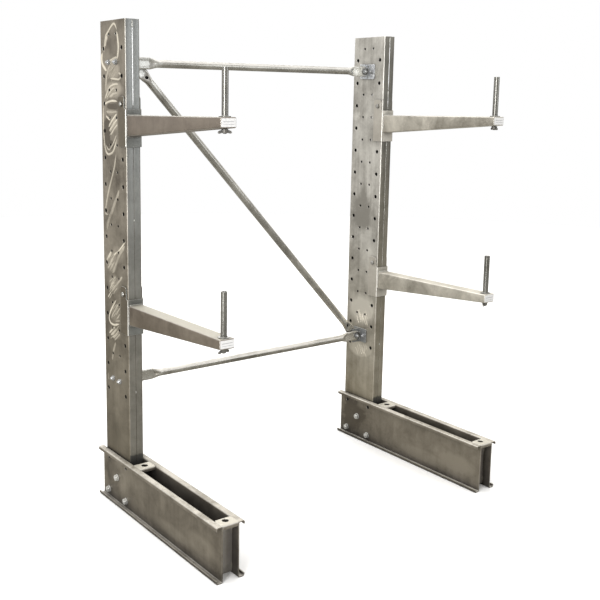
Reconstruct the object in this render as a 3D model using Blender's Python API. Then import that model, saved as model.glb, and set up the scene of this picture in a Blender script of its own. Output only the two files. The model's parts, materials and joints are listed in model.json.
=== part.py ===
"""Cantilever rack: two punched box columns on clasping bases, tied by tube braces, with four pin-hung arms.

Metres, +Z up. The front, where the arms reach out, is -Y. The origin is the centre of the footprint on the floor.
"""

import math

import bmesh
import bpy
from mathutils import Vector

# Driving dimensions, in metres.
GAP = 0.0003  # between two pieces that touch

COLUMN_HEIGHT = 1.850
COLUMN_WIDTH = 0.060  # across the front face, along X
COLUMN_DEPTH = 0.198  # along Y
COLUMN_SPACING = 1.257  # centre to centre
COLUMN_SHEET = 0.004
COLUMN_FOOT = 0.003  # the column stops this far above the floor
COLUMN_SLOT = 0.004  # between the toes of the two halves
COLUMN_LIP = 0.014
BEND_RADIUS = 0.003  # inside radius of every cold bend

HOLE_PITCH = 0.100
HOLE_ROWS = 14
OUTER_HOLE_EDGE = 0.028  # from the front or rear face to the outer hole columns
INNER_HOLE_OFFSET = 0.0275  # from the middle of the web to each inner hole
FIRST_INNER_DROP = 0.050  # from the column's top to its first row of inner holes
FIRST_OUTER_DROP = 0.100
OUTER_HOLE_RADIUS = 0.008
INNER_HOLE_RADIUS = 0.0055

BASE_LENGTH = 0.860
BASE_HEIGHT = 0.200
BASE_SHEET = 0.004
BASE_FLANGE = 0.026  # overall, web included
BASE_LIP = 0.011
BASE_REAR_OVERHANG = 0.016  # behind the column's rear face
BASE_BOLT_LOW = 0.030
BASE_BOLT_MIDDLE = 0.102
BASE_BOLT_HIGH = 0.165
BASE_HOLE_RADIUS = 0.008
BASE_BOLT_END = 0.003  # thread past the nut
CAP_LENGTH = 0.050
CAP_LIP = 0.014
CAP_HOLE_RADIUS = 0.0115
CAP_HOLE_SETBACK = 0.033
FRONT_WEB_SETBACK = 0.0365
FRONT_WEB_TOP = 0.174
FRONT_WEB_BOTTOM = 0.009
SPACER_NEAR = 0.034  # from the column's front face to the spacer's rear edge
SPACER_FAR = 0.090
SPACER_HOLE_RADIUS = 0.0125

ARM_ROWS = {"upper": 2, "lower": 9}  # rows of outer holes, counted from 0 at the top
ARM_LENGTH = 0.618  # from the column's front face to the arm's tip
ARM_WIDTH = 0.057
ARM_SHEET = 0.003
ARM_ROOT_TOP = -0.039  # heights below are from the lock pin's axis
ARM_ROOT_BOTTOM = -0.115
ARM_TIP_TOP = -0.032
ARM_TIP_BOTTOM = -0.066
SADDLE_SHEET = 0.004
SADDLE_TOP = -0.0185
SADDLE_BOTTOM = -0.1535
SADDLE_REACH = 0.052  # from the column's front face to the side plates' rear edge
EAR_TOP = 0.029
EAR_SETBACK = 0.003  # from the column's front face to the front edge of the ears
EAR_CORNER = 0.012
EAR_FILLET = 0.008

LOCK_PIN_RADIUS = 0.007
LOCK_PIN_HOLE = 0.0077
LOCK_PIN_HEAD_RADIUS = 0.0088
LOCK_PIN_HEAD = 0.006
LOCK_PIN_END = 0.009  # past the far ear

STOP_PIN_SETBACK = 0.021  # from the arm's tip to the stop pin's axis
STOP_PIN_RADIUS = 0.01065
STOP_PIN_BORE = 0.0078
STOP_PIN_HEIGHT = 0.151
STOP_PIN_FLOOR = 0.025  # solid length above the collar
COLLAR_RADIUS = 0.019
COLLAR_THICKNESS = 0.003
STUD_RADIUS = 0.006
STUD_HOLE = 0.0066
STUD_END = 0.003  # past the wing nut

WING_NUT_RADIUS = 0.011
WING_NUT_HEIGHT = 0.013
WING_SPAN = 0.052
WING_THICKNESS = 0.004
WING_NUT_TURNS = {  # degrees each wing nut stands turned from the X axis
    ("left", "upper"): -5,
    ("left", "lower"): 10,
    ("right", "upper"): 70,
    ("right", "lower"): 25,
}

BRACE_RADIUS = 0.015
BRACE_FLAT_HEIGHT = 0.044
BRACE_FLAT_THICKNESS = 0.005
BRACE_END = 0.018  # past the bolt
BRACE_FLAT = 0.055  # from the bolt to where the flat starts to open
BRACE_TAPER = 0.040
BRACE_BOLT_REACH = 0.031  # from the column's inner face to the brace bolt
BRACKET_WIDTH = 0.084
BRACKET_HEIGHT = 0.064
BRACKET_PLATE = 0.004
BRACKET_TAB = 0.050
BRACKET_BOLT_END = 0.007
TOP_BRACE_ROW = 1  # rows of inner holes
BOTTOM_BRACE_ROW = 13

ROUND_SIDES = 12
HOLE_SIDES = 6
BEND_STEPS = 2

# Places that follow from the dimensions above.
COLUMN_FRONT = BASE_LENGTH / 2 - BASE_REAR_OVERHANG - COLUMN_DEPTH
HALF_WIDTH = COLUMN_WIDTH / 2
COLUMN_MIDDLE = COLUMN_DEPTH / 2
BASE_FRONT = -COLUMN_FRONT - BASE_LENGTH / 2  # in an upright's own frame
BASE_REAR = COLUMN_DEPTH + BASE_REAR_OVERHANG
SIDES = {"left": -1, "right": 1}

MATERIALS = {
    "column": ((0.36, 0.35, 0.31), 0.42),
    "base": ((0.30, 0.28, 0.24), 0.48),
    "spacer": ((0.42, 0.40, 0.35), 0.45),
    "saddle": ((0.40, 0.39, 0.35), 0.42),
    "arm": ((0.36, 0.33, 0.28), 0.45),
    "brace": ((0.46, 0.45, 0.41), 0.38),
    "bracket": ((0.44, 0.44, 0.42), 0.38),
    "fastener": ((0.66, 0.66, 0.64), 0.28),
    "pin": ((0.40, 0.40, 0.39), 0.34),
}


def clear_scene():
    for old in list(bpy.data.objects):
        bpy.data.objects.remove(old, do_unlink=True)


def make_material(name, kind):
    """A galvanised finish of its own for one sub-part."""
    colour, roughness = MATERIALS[kind]
    material = bpy.data.materials.new(name)
    material.use_nodes = True
    shader = material.node_tree.nodes["Principled BSDF"]
    shader.inputs["Base Color"].default_value = (*colour, 1.0)
    shader.inputs["Metallic"].default_value = 0.85
    shader.inputs["Roughness"].default_value = roughness
    return material


def make_empty(name, place, parent=None):
    empty = bpy.data.objects.new(name, None)
    empty.location = place
    empty.parent = parent
    bpy.context.scene.collection.objects.link(empty)
    return empty


def add_object(name, mesh, kind, parent=None, place=(0, 0, 0), smooth=False):
    """An object of this mesh, with its own material when it is a piece of the rack."""
    made = bpy.data.objects.new(name, mesh)
    made.parent = parent
    made.location = place
    bpy.context.scene.collection.objects.link(made)
    if smooth:
        mesh.shade_smooth()
        mesh.set_sharp_from_angle(angle=math.radians(35))
    if kind is None:
        made.hide_render = True
        made.display_type = "WIRE"
    else:
        made.data.materials.append(make_material(name, kind))
    return made


def finish_mesh(name, shape):
    bmesh.ops.recalc_face_normals(shape, faces=shape.faces)
    mesh = bpy.data.meshes.new(name)
    shape.to_mesh(mesh)
    shape.free()
    return mesh


def prism(name, outline, axis, start, end):
    """The outline, drawn in the two other axes in X, Y, Z order, run from start to end along axis."""
    across, up = [i for i in range(3) if i != axis]
    shape = bmesh.new()
    corners = []
    for a, b in outline:
        point = Vector((0, 0, 0))
        point[axis], point[across], point[up] = start, a, b
        corners.append(shape.verts.new(point))
    face = shape.faces.new(corners)
    grown = bmesh.ops.extrude_face_region(shape, geom=[face])
    shift = Vector((0, 0, 0))
    shift[axis] = end - start
    moved = [item for item in grown["geom"] if isinstance(item, bmesh.types.BMVert)]
    bmesh.ops.translate(shape, verts=moved, vec=shift)
    return finish_mesh(name, shape)


def rectangle(low, high):
    return [(low[0], low[1]), (high[0], low[1]), (high[0], high[1]), (low[0], high[1])]


def rounded(corners, steps=3):
    """An outline from (across, up, radius) corners, each turned into an arc of its radius."""
    outline = []
    for i, (x, y, radius) in enumerate(corners):
        here = Vector((x, y))
        if radius == 0:
            outline.append((x, y))
            continue
        before = (Vector(corners[i - 1][:2]) - here).normalized()
        after = (Vector(corners[(i + 1) % len(corners)][:2]) - here).normalized()
        half = before.angle(after) / 2
        centre = here + (before + after).normalized() * radius / math.sin(half)
        first = here + before * radius / math.tan(half) - centre
        turn = first.angle_signed(here + after * radius / math.tan(half) - centre)
        for step in range(steps + 1):
            angle = -turn * step / steps
            spoke = Vector(
                (
                    first.x * math.cos(angle) - first.y * math.sin(angle),
                    first.x * math.sin(angle) + first.y * math.cos(angle),
                )
            )
            outline.append(tuple(centre + spoke))
    return outline


def bent_sheet(path, thickness, steps=BEND_STEPS):
    """The outline of a sheet of this thickness, folded along the path of its middle line."""
    points = [Vector(p) for p in path]
    middle_radius = BEND_RADIUS + thickness / 2
    left_side, right_side = [], []

    def offset(point, heading, side):
        normal = Vector((-heading.y, heading.x))
        return tuple(point + normal * side * thickness / 2)

    heading = (points[1] - points[0]).normalized()
    left_side.append(offset(points[0], heading, 1))
    right_side.append(offset(points[0], heading, -1))
    for before, here, after in zip(points, points[1:], points[2:]):
        into = (here - before).normalized()
        out = (after - here).normalized()
        turn = math.atan2(into.cross(out), into.dot(out))
        hand = math.copysign(1, turn)
        tangent = here - into * middle_radius * math.tan(abs(turn) / 2)
        centre = tangent + Vector((-into.y, into.x)) * hand * middle_radius
        first = (tangent - centre).normalized()
        for step in range(steps + 1):
            angle = turn * step / steps
            spoke = Vector(
                (
                    first.x * math.cos(angle) - first.y * math.sin(angle),
                    first.x * math.sin(angle) + first.y * math.cos(angle),
                )
            )
            left_side.append(tuple(centre + spoke * (middle_radius - hand * thickness / 2)))
            right_side.append(tuple(centre + spoke * (middle_radius + hand * thickness / 2)))
        heading = out
    left_side.append(offset(points[-1], heading, 1))
    right_side.append(offset(points[-1], heading, -1))
    return left_side + right_side[::-1]


def ring_points(radius, sides, phase=0.0):
    return [
        (
            radius * math.cos(phase + 2 * math.pi * i / sides),
            radius * math.sin(phase + 2 * math.pi * i / sides),
        )
        for i in range(sides)
    ]


def stacked(name, rings, axis):
    """A closed body through rings of equally many points, each (place along axis, its outline)."""
    across, up = [i for i in range(3) if i != axis]
    shape = bmesh.new()
    layers = []
    for along, outline in rings:
        layer = []
        for a, b in outline:
            point = Vector((0, 0, 0))
            point[axis], point[across], point[up] = along, a, b
            layer.append(shape.verts.new(point))
        layers.append(layer)
    for lower, upper in zip(layers, layers[1:]):
        count = len(lower)
        for i in range(count):
            j = (i + 1) % count
            shape.faces.new((lower[i], lower[j], upper[j], upper[i]))
    shape.faces.new(layers[0])
    shape.faces.new(layers[-1])
    return finish_mesh(name, shape)


def boolean(target, cutter_mesh, operation, place=(0, 0, 0)):
    """Cuts target with a hidden helper that shares its parent and its place."""
    name = f"{target.name}_{operation.lower()}_{len(target.modifiers)}"
    cutter = add_object(name, cutter_mesh, None, target.parent, place)
    cutter.rotation_euler = target.rotation_euler
    modifier = target.modifiers.new(cutter.name, "BOOLEAN")
    modifier.operation = operation
    modifier.solver = "EXACT"
    modifier.object = cutter


def drill(target, axis, centres, radius, start, end, sides=HOLE_SIDES, place=(0, 0, 0)):
    """Drills round holes along axis, from start to end, at these (across, up) centres."""
    across, up = [i for i in range(3) if i != axis]
    shape = bmesh.new()
    for centre in centres:
        layers = []
        for along in (start, end):
            layer = []
            for a, b in ring_points(radius, sides, math.pi / sides):
                point = Vector((0, 0, 0))
                point[axis], point[across], point[up] = along, centre[0] + a, centre[1] + b
                layer.append(shape.verts.new(point))
            layers.append(layer)
        for i in range(sides):
            j = (i + 1) % sides
            shape.faces.new((layers[0][i], layers[0][j], layers[1][j], layers[1][i]))
        shape.faces.new(layers[0])
        shape.faces.new(layers[1])
    boolean(target, finish_mesh(f"{target.name}_holes", shape), "DIFFERENCE", place)


def column_outer_rows():
    return [COLUMN_HEIGHT - FIRST_OUTER_DROP - HOLE_PITCH * row for row in range(HOLE_ROWS)]


def column_inner_rows():
    return [COLUMN_HEIGHT - FIRST_INNER_DROP - HOLE_PITCH * row for row in range(HOLE_ROWS)]


def base_hole_centres():
    """The five holes that join a base to its column, as (y, z) in the upright's frame."""
    edges = (OUTER_HOLE_EDGE, COLUMN_DEPTH - OUTER_HOLE_EDGE)
    corners = [(y, z) for y in edges for z in (BASE_BOLT_LOW, BASE_BOLT_HIGH)]
    return corners + [(COLUMN_MIDDLE, BASE_BOLT_MIDDLE)]


def make_column_half(name, upright, hand):
    """A lipped channel with its punched web on the hand side."""
    web = hand * (HALF_WIDTH - COLUMN_SHEET / 2)
    toe = hand * (COLUMN_SLOT / 2 + COLUMN_SHEET / 2)
    near = COLUMN_SHEET / 2
    far = COLUMN_DEPTH - COLUMN_SHEET / 2
    path = [(toe, COLUMN_LIP), (toe, near), (web, near), (web, far), (toe, far)]
    path.append((toe, COLUMN_DEPTH - COLUMN_LIP))
    outline = bent_sheet(path, COLUMN_SHEET)
    half = add_object(name, prism(name, outline, 2, COLUMN_FOOT, COLUMN_HEIGHT), "column", upright)
    edges = (OUTER_HOLE_EDGE, COLUMN_DEPTH - OUTER_HOLE_EDGE)
    outer = [(y, z) for y in edges for z in column_outer_rows()]
    pair = (COLUMN_MIDDLE - INNER_HOLE_OFFSET, COLUMN_MIDDLE + INNER_HOLE_OFFSET)
    inner = [(y, z) for y in pair for z in column_inner_rows()]
    reach = sorted((web - hand * COLUMN_SHEET, web + hand * COLUMN_SHEET))
    drill(half, 0, outer, OUTER_HOLE_RADIUS, *reach, sides=8)
    drill(half, 0, inner, INNER_HOLE_RADIUS, *reach)
    drill(half, 0, base_hole_centres(), BASE_HOLE_RADIUS, *reach)
    return half


def make_base_channel(name, upright, hand):
    """A lipped channel whose web clasps the column and whose flanges point away from it."""
    web = hand * (HALF_WIDTH + GAP + BASE_SHEET / 2)
    tip = web + hand * (BASE_FLANGE - BASE_SHEET)
    low = BASE_SHEET / 2
    high = BASE_HEIGHT - BASE_SHEET / 2
    path = [(tip, high - BASE_LIP), (tip, high), (web, high), (web, low), (tip, low)]
    path.append((tip, low + BASE_LIP))
    outline = bent_sheet(path, BASE_SHEET)
    channel = add_object(name, prism(name, outline, 1, BASE_FRONT, BASE_REAR), "base", upright)
    reach = sorted((web - hand * BASE_SHEET, web + hand * BASE_SHEET))
    drill(channel, 0, base_hole_centres(), BASE_HOLE_RADIUS, *reach)
    return channel


def make_spacer(name, upright, path, hole_y, hole_radius):
    """A folded plate between the two webs of a base, with a round access hole."""
    mesh = prism(name, bent_sheet(path, BASE_SHEET), 0, -HALF_WIDTH, HALF_WIDTH)
    spacer = add_object(name, mesh, "spacer", upright)
    above_and_below = (BASE_HEIGHT - 2 * BASE_SHEET, BASE_HEIGHT + BASE_SHEET)
    drill(spacer, 2, [(0, hole_y)], hole_radius, *above_and_below, sides=ROUND_SIDES)
    return spacer


def make_base_plates(side, upright):
    top = BASE_HEIGHT - BASE_SHEET / 2
    front = BASE_FRONT + BASE_SHEET / 2
    cap_path = [(BASE_FRONT + CAP_LENGTH, top), (front, top), (front, BASE_HEIGHT - CAP_LIP)]
    hole = BASE_FRONT + CAP_HOLE_SETBACK
    make_spacer(f"{side}_base_front_cap", upright, cap_path, hole, CAP_HOLE_RADIUS)
    near = -SPACER_NEAR - BASE_SHEET / 2
    far = -SPACER_FAR + BASE_SHEET / 2
    lip_end = BASE_HEIGHT - CAP_LIP
    spacer_path = [(near, lip_end), (near, top), (far, top), (far, lip_end)]
    hole = (near + far) / 2
    make_spacer(f"{side}_base_rear_spacer", upright, spacer_path, hole, SPACER_HOLE_RADIUS)
    face = BASE_FRONT + FRONT_WEB_SETBACK
    outline = rectangle((-HALF_WIDTH, face), (HALF_WIDTH, face + BASE_SHEET))
    name = f"{side}_base_front_web"
    add_object(name, prism(name, outline, 2, FRONT_WEB_BOTTOM, FRONT_WEB_TOP), "spacer", upright)


def make_through_bolt(name, parent, place, shank, grip, head, nut, end, axis=0):
    """A hexagon bolt with its nut: grip runs from under the head, at +axis, to under the nut.

    head and nut are (half the width across flats, thickness), and end is the thread past the nut.
    """
    corner = 1 / math.cos(math.pi / 6)
    low, high = grip
    rings = [
        (low - nut[1] - end, ring_points(shank * 0.9, HOLE_SIDES)),
        (low - nut[1], ring_points(shank, HOLE_SIDES)),
        (low - nut[1], ring_points(nut[0] * corner, HOLE_SIDES)),
        (low, ring_points(nut[0] * corner, HOLE_SIDES)),
        (low, ring_points(shank, HOLE_SIDES)),
        (high, ring_points(shank, HOLE_SIDES)),
        (high, ring_points(head[0] * corner, HOLE_SIDES)),
        (high + head[1], ring_points(head[0] * corner, HOLE_SIDES)),
    ]
    return add_object(name, stacked(name, rings, axis), "fastener", parent, place)


def make_base_bolts(side, upright):
    edge = HALF_WIDTH + GAP + BASE_SHEET + GAP
    places = {
        "centre": (COLUMN_MIDDLE, BASE_BOLT_MIDDLE),
        "low_front": (OUTER_HOLE_EDGE, BASE_BOLT_LOW),
        "low_rear": (COLUMN_DEPTH - OUTER_HOLE_EDGE, BASE_BOLT_LOW),
    }
    for spot, (y, z) in places.items():
        name = f"{side}_base_bolt_{spot}"
        grip = (-edge, edge)
        sizes = ((0.011, 0.008), (0.011, 0.010), BASE_BOLT_END)
        make_through_bolt(name, upright, (0, y, z), 0.0065, grip, *sizes)


def make_upright(side):
    hand = SIDES[side]
    upright = make_empty(f"{side}_upright", (hand * COLUMN_SPACING / 2, COLUMN_FRONT, 0))
    for word, way in (("outer", hand), ("inner", -hand)):
        make_column_half(f"{side}_column_{word}_half", upright, way)
        make_base_channel(f"{side}_base_{word}_channel", upright, way)
    make_base_plates(side, upright)
    make_base_bolts(side, upright)
    return upright


def make_saddle(name, pivot):
    """A plate folded round the column's front, with an ear up each side for the lock pin."""
    wall = HALF_WIDTH + GAP + SADDLE_SHEET / 2
    face = -OUTER_HOLE_EDGE
    rear = face + SADDLE_REACH
    fold = face - GAP - SADDLE_SHEET / 2
    outline = bent_sheet([(-wall, rear), (-wall, fold), (wall, fold), (wall, rear)], SADDLE_SHEET)
    saddle = add_object(name, prism(name, outline, 2, SADDLE_BOTTOM, EAR_TOP), "saddle", pivot)
    front = face - 2 * SADDLE_SHEET
    ear = face + EAR_SETBACK
    side_view = rounded(
        [
            (front, SADDLE_BOTTOM, 0),
            (rear, SADDLE_BOTTOM, 0.006),
            (rear, EAR_TOP, EAR_CORNER),
            (ear, EAR_TOP, EAR_CORNER),
            (ear, SADDLE_TOP, EAR_FILLET),
            (front, SADDLE_TOP, 0),
        ]
    )
    boolean(saddle, prism(f"{name}_profile", side_view, 0, -2 * wall, 2 * wall), "INTERSECT")
    drill(saddle, 0, [(0, 0)], LOCK_PIN_HOLE, -2 * wall, 2 * wall, sides=ROUND_SIDES)
    return saddle


def make_beam(name, pivot):
    """The tapered box of an arm, closed at its tip and open towards the saddle."""
    root = -OUTER_HOLE_EDGE - 2 * GAP - SADDLE_SHEET
    tip = -OUTER_HOLE_EDGE - ARM_LENGTH
    outside = [(root, ARM_ROOT_TOP), (tip, ARM_TIP_TOP), (tip, ARM_TIP_BOTTOM), (root, ARM_ROOT_BOTTOM)]
    half = ARM_WIDTH / 2
    beam = add_object(name, prism(name, outside, 0, -half, half), "arm", pivot)
    sheet = ARM_SHEET
    inside = [
        (root + sheet, ARM_ROOT_TOP - sheet),
        (tip + sheet, ARM_TIP_TOP - sheet),
        (tip + sheet, ARM_TIP_BOTTOM + sheet),
        (root + sheet, ARM_ROOT_BOTTOM + sheet),
    ]
    boolean(beam, prism(f"{name}_hollow", inside, 0, sheet - half, half - sheet), "DIFFERENCE")
    stud = [(0, tip + STOP_PIN_SETBACK)]
    drill(beam, 2, stud, STUD_HOLE, 2 * ARM_TIP_BOTTOM, 0, sides=ROUND_SIDES)
    return beam


def arm_surface_height(y, root_height, tip_height):
    """The height of the arm's top or bottom at y, in its pivot's frame."""
    root = -OUTER_HOLE_EDGE - 2 * GAP - SADDLE_SHEET
    tip = -OUTER_HOLE_EDGE - ARM_LENGTH
    return root_height + (tip_height - root_height) * (y - root) / (tip - root)


def make_stop_pin(name, pivot):
    """A tube open at its top, with a collar that sits on the arm and a stud that goes through it."""
    y = STOP_PIN_SETBACK - OUTER_HOLE_EDGE - ARM_LENGTH
    seat = arm_surface_height(y, ARM_ROOT_TOP, ARM_TIP_TOP) + 2 * GAP
    below = arm_surface_height(y, ARM_ROOT_BOTTOM, ARM_TIP_BOTTOM) - seat
    stud_end = below - WING_NUT_HEIGHT - STUD_END
    profile = [
        (stud_end, STUD_RADIUS),
        (0, STUD_RADIUS),
        (0, COLLAR_RADIUS),
        (COLLAR_THICKNESS, COLLAR_RADIUS),
        (COLLAR_THICKNESS, STOP_PIN_RADIUS),
        (STOP_PIN_HEIGHT, STOP_PIN_RADIUS),
        (STOP_PIN_HEIGHT, STOP_PIN_BORE),
        (STOP_PIN_FLOOR, STOP_PIN_BORE),
    ]
    rings = [(along, ring_points(radius, ROUND_SIDES)) for along, radius in profile]
    mesh = stacked(name, rings, 2)
    return add_object(name, mesh, "pin", pivot, (0, y, seat), smooth=True)


def make_wing_nut(name, pivot, turn):
    """A drooping two-winged nut under the arm, round the stop pin's stud."""
    y = STOP_PIN_SETBACK - OUTER_HOLE_EDGE - ARM_LENGTH
    highest_touch = y + WING_NUT_RADIUS
    seat = arm_surface_height(highest_touch, ARM_ROOT_BOTTOM, ARM_TIP_BOTTOM) - GAP
    hub = [
        (-WING_NUT_HEIGHT, ring_points(WING_NUT_RADIUS * 0.8, ROUND_SIDES)),
        (0, ring_points(WING_NUT_RADIUS, ROUND_SIDES)),
    ]
    nut = add_object(name, stacked(name, hub, 2), "fastener", pivot, (0, y, seat))
    nut.rotation_euler.z = math.radians(turn)
    span = WING_SPAN / 2
    wing = rounded(
        [
            (-WING_NUT_RADIUS * 0.7, -0.002, 0),
            (-span * 0.85, -0.006, 0.002),
            (-span, -0.0125, 0.003),
            (-span * 0.75, -0.0145, 0.003),
            (-WING_NUT_RADIUS * 0.6, -WING_NUT_HEIGHT * 0.85, 0),
            (WING_NUT_RADIUS * 0.6, -WING_NUT_HEIGHT * 0.85, 0),
            (span * 0.75, -0.0145, 0.003),
            (span, -0.0125, 0.003),
            (span * 0.85, -0.006, 0.002),
            (WING_NUT_RADIUS * 0.7, -0.002, 0),
        ],
        steps=2,
    )
    wings = prism(f"{name}_wings", wing, 1, -WING_THICKNESS / 2, WING_THICKNESS / 2)
    boolean(nut, wings, "UNION", nut.location)
    reach = (-2 * WING_NUT_HEIGHT, WING_NUT_HEIGHT)
    drill(nut, 2, [(0, 0)], STUD_HOLE, *reach, sides=ROUND_SIDES, place=nut.location)
    return nut


def make_lock_pin(name, pivot):
    """A headed round pin through both ears and both webs."""
    ear = HALF_WIDTH + 2 * GAP + SADDLE_SHEET
    profile = [
        (-ear - LOCK_PIN_HEAD, LOCK_PIN_HEAD_RADIUS * 0.8),
        (-ear - LOCK_PIN_HEAD * 0.7, LOCK_PIN_HEAD_RADIUS),
        (-ear, LOCK_PIN_HEAD_RADIUS),
        (-ear, LOCK_PIN_RADIUS),
        (ear + LOCK_PIN_END * 0.8, LOCK_PIN_RADIUS),
        (ear + LOCK_PIN_END, LOCK_PIN_RADIUS * 0.8),
    ]
    rings = [(along, ring_points(radius, ROUND_SIDES)) for along, radius in profile]
    return add_object(name, stacked(name, rings, 0), "fastener", pivot, smooth=True)


def make_arm(side, level, upright):
    row = column_outer_rows()[ARM_ROWS[level]]
    arm = f"{side}_{level}"
    pivot = make_empty(f"{arm}_arm_pivot", (0, OUTER_HOLE_EDGE, row), upright)
    make_saddle(f"{arm}_arm_saddle", pivot)
    make_beam(f"{arm}_arm_beam", pivot)
    make_stop_pin(f"{arm}_stop_pin", pivot)
    make_wing_nut(f"{arm}_wing_nut", pivot, WING_NUT_TURNS[side, level])
    make_lock_pin(f"{arm}_lock_pin", pivot)


def make_bracket(side, level, upright):
    """A plate bolted to the column's inner web, with a tab that stands out to take the braces."""
    hand = -SIDES[side]
    row = column_inner_rows()[TOP_BRACE_ROW if level == "top" else BOTTOM_BRACE_ROW]
    name = f"{side}_{level}_bracket"
    low, high = row - BRACKET_HEIGHT / 2, row + BRACKET_HEIGHT / 2
    inside = hand * (HALF_WIDTH + GAP)
    outside = inside + hand * BRACKET_PLATE
    half = BRACKET_WIDTH / 2
    plate = rectangle(
        (min(inside, outside), COLUMN_MIDDLE - half), (max(inside, outside), COLUMN_MIDDLE + half)
    )
    bracket = add_object(name, prism(name, plate, 2, low, high), "bracket", upright)
    tab_end = inside + hand * BRACKET_TAB
    tab_root = inside + hand * BRACKET_PLATE / 2
    edge = BRACKET_PLATE / 2
    tab = rectangle(
        (min(tab_root, tab_end), COLUMN_MIDDLE - edge), (max(tab_root, tab_end), COLUMN_MIDDLE + edge)
    )
    boolean(bracket, prism(f"{name}_tab", tab, 2, low, high), "UNION")
    pair = [(COLUMN_MIDDLE + way * INNER_HOLE_OFFSET, row) for way in (-1, 1)]
    reach = sorted((inside - hand * BRACKET_PLATE, outside + hand * BRACKET_PLATE))
    drill(bracket, 0, pair, INNER_HOLE_RADIUS, *reach)
    bolt_x = hand * (HALF_WIDTH + BRACE_BOLT_REACH)
    across = (COLUMN_MIDDLE - BRACKET_PLATE, COLUMN_MIDDLE + BRACKET_PLATE)
    drill(bracket, 1, [(bolt_x, row)], INNER_HOLE_RADIUS, *across)
    near, far = -HALF_WIDTH - GAP, HALF_WIDTH + 2 * GAP + BRACKET_PLATE
    grip = (near, far) if hand > 0 else (-far, -near)
    sizes = ((0.008, 0.006), (0.008, 0.007), BRACKET_BOLT_END)
    for word, (y, z) in zip(("front", "rear"), pair):
        make_through_bolt(f"{name}_bolt_{word}", upright, (0, y, z), 0.0045, grip, *sizes)
    layer = BRACKET_PLATE / 2 + 2 * GAP + BRACE_FLAT_THICKNESS
    has_diagonal = (side, level) in (("left", "top"), ("right", "bottom"))
    grip = (-layer, layer if has_diagonal else BRACKET_PLATE / 2 + GAP)
    name = f"{side}_{level}_brace_bolt"
    place = (bolt_x, COLUMN_MIDDLE, row)
    make_through_bolt(name, upright, place, 0.0045, grip, *sizes, axis=1)


def brace_ring(width, height, squareness):
    """A tube's outline: round at squareness 1, and near a rectangle as it falls."""
    ring = []
    for i in range(ROUND_SIDES):
        angle = 2 * math.pi * (i + 0.5) / ROUND_SIDES
        a, b = math.cos(angle), math.sin(angle)
        ring.append(
            (
                math.copysign(abs(a) ** squareness, a) * width / 2,
                math.copysign(abs(b) ** squareness, b) * height / 2,
            )
        )
    return ring


def make_brace(name, start, end):
    """A tube pressed flat at both ends, from one bolt to the other."""
    span = Vector(end) - Vector(start)
    length = span.length
    flat = brace_ring(BRACE_FLAT_THICKNESS, BRACE_FLAT_HEIGHT, 0.35)
    nose = brace_ring(BRACE_FLAT_THICKNESS, BRACE_FLAT_HEIGHT * 0.5, 0.35)
    tube = brace_ring(2 * BRACE_RADIUS, 2 * BRACE_RADIUS, 1)
    opening = brace_ring(0.6 * 2 * BRACE_RADIUS, 0.94 * BRACE_FLAT_HEIGHT, 0.7)
    half_way = BRACE_FLAT + BRACE_TAPER / 2
    rings = [
        (-BRACE_END, nose),
        (-BRACE_END * 0.35, flat),
        (BRACE_FLAT, flat),
        (half_way, opening),
        (BRACE_FLAT + BRACE_TAPER, tube),
        (length - BRACE_FLAT - BRACE_TAPER, tube),
        (length - half_way, opening),
        (length - BRACE_FLAT, flat),
        (length + BRACE_END * 0.35, flat),
        (length + BRACE_END, nose),
    ]
    brace = add_object(name, stacked(name, rings, 0), "brace", None, start, smooth=True)
    brace.rotation_euler.y = -math.atan2(span.z, span.x)
    reach = (-BRACE_FLAT_THICKNESS, BRACE_FLAT_THICKNESS)
    holes = [(0, 0), (length, 0)]
    drill(brace, 1, holes, INNER_HOLE_RADIUS, *reach, place=brace.location)
    return brace


def make_braces():
    rows = column_inner_rows()
    top, bottom = rows[TOP_BRACE_ROW], rows[BOTTOM_BRACE_ROW]
    reach = COLUMN_SPACING / 2 - HALF_WIDTH - BRACE_BOLT_REACH
    layer = BRACKET_PLATE / 2 + GAP + BRACE_FLAT_THICKNESS / 2
    front = COLUMN_FRONT + COLUMN_MIDDLE - layer
    rear = COLUMN_FRONT + COLUMN_MIDDLE + layer
    make_brace("top_brace", (-reach, front, top), (reach, front, top))
    make_brace("bottom_brace", (-reach, front, bottom), (reach, front, bottom))
    make_brace("diagonal_brace", (-reach, rear, top), (reach, rear, bottom))


def make_rack():
    clear_scene()
    for side in SIDES:
        upright = make_upright(side)
        for level in ("top", "bottom"):
            make_bracket(side, level, upright)
        for level in ARM_ROWS:
            make_arm(side, level, upright)
    make_braces()


make_rack()
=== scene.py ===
"""The looks of the cantilever rack: finer galvanised pieces, their floor, lights and camera.

Metres, +Z up. The arms reach out towards -Y.
"""

import json
import math
import random

import bmesh
import bpy
from mathutils import Matrix, Vector

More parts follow.
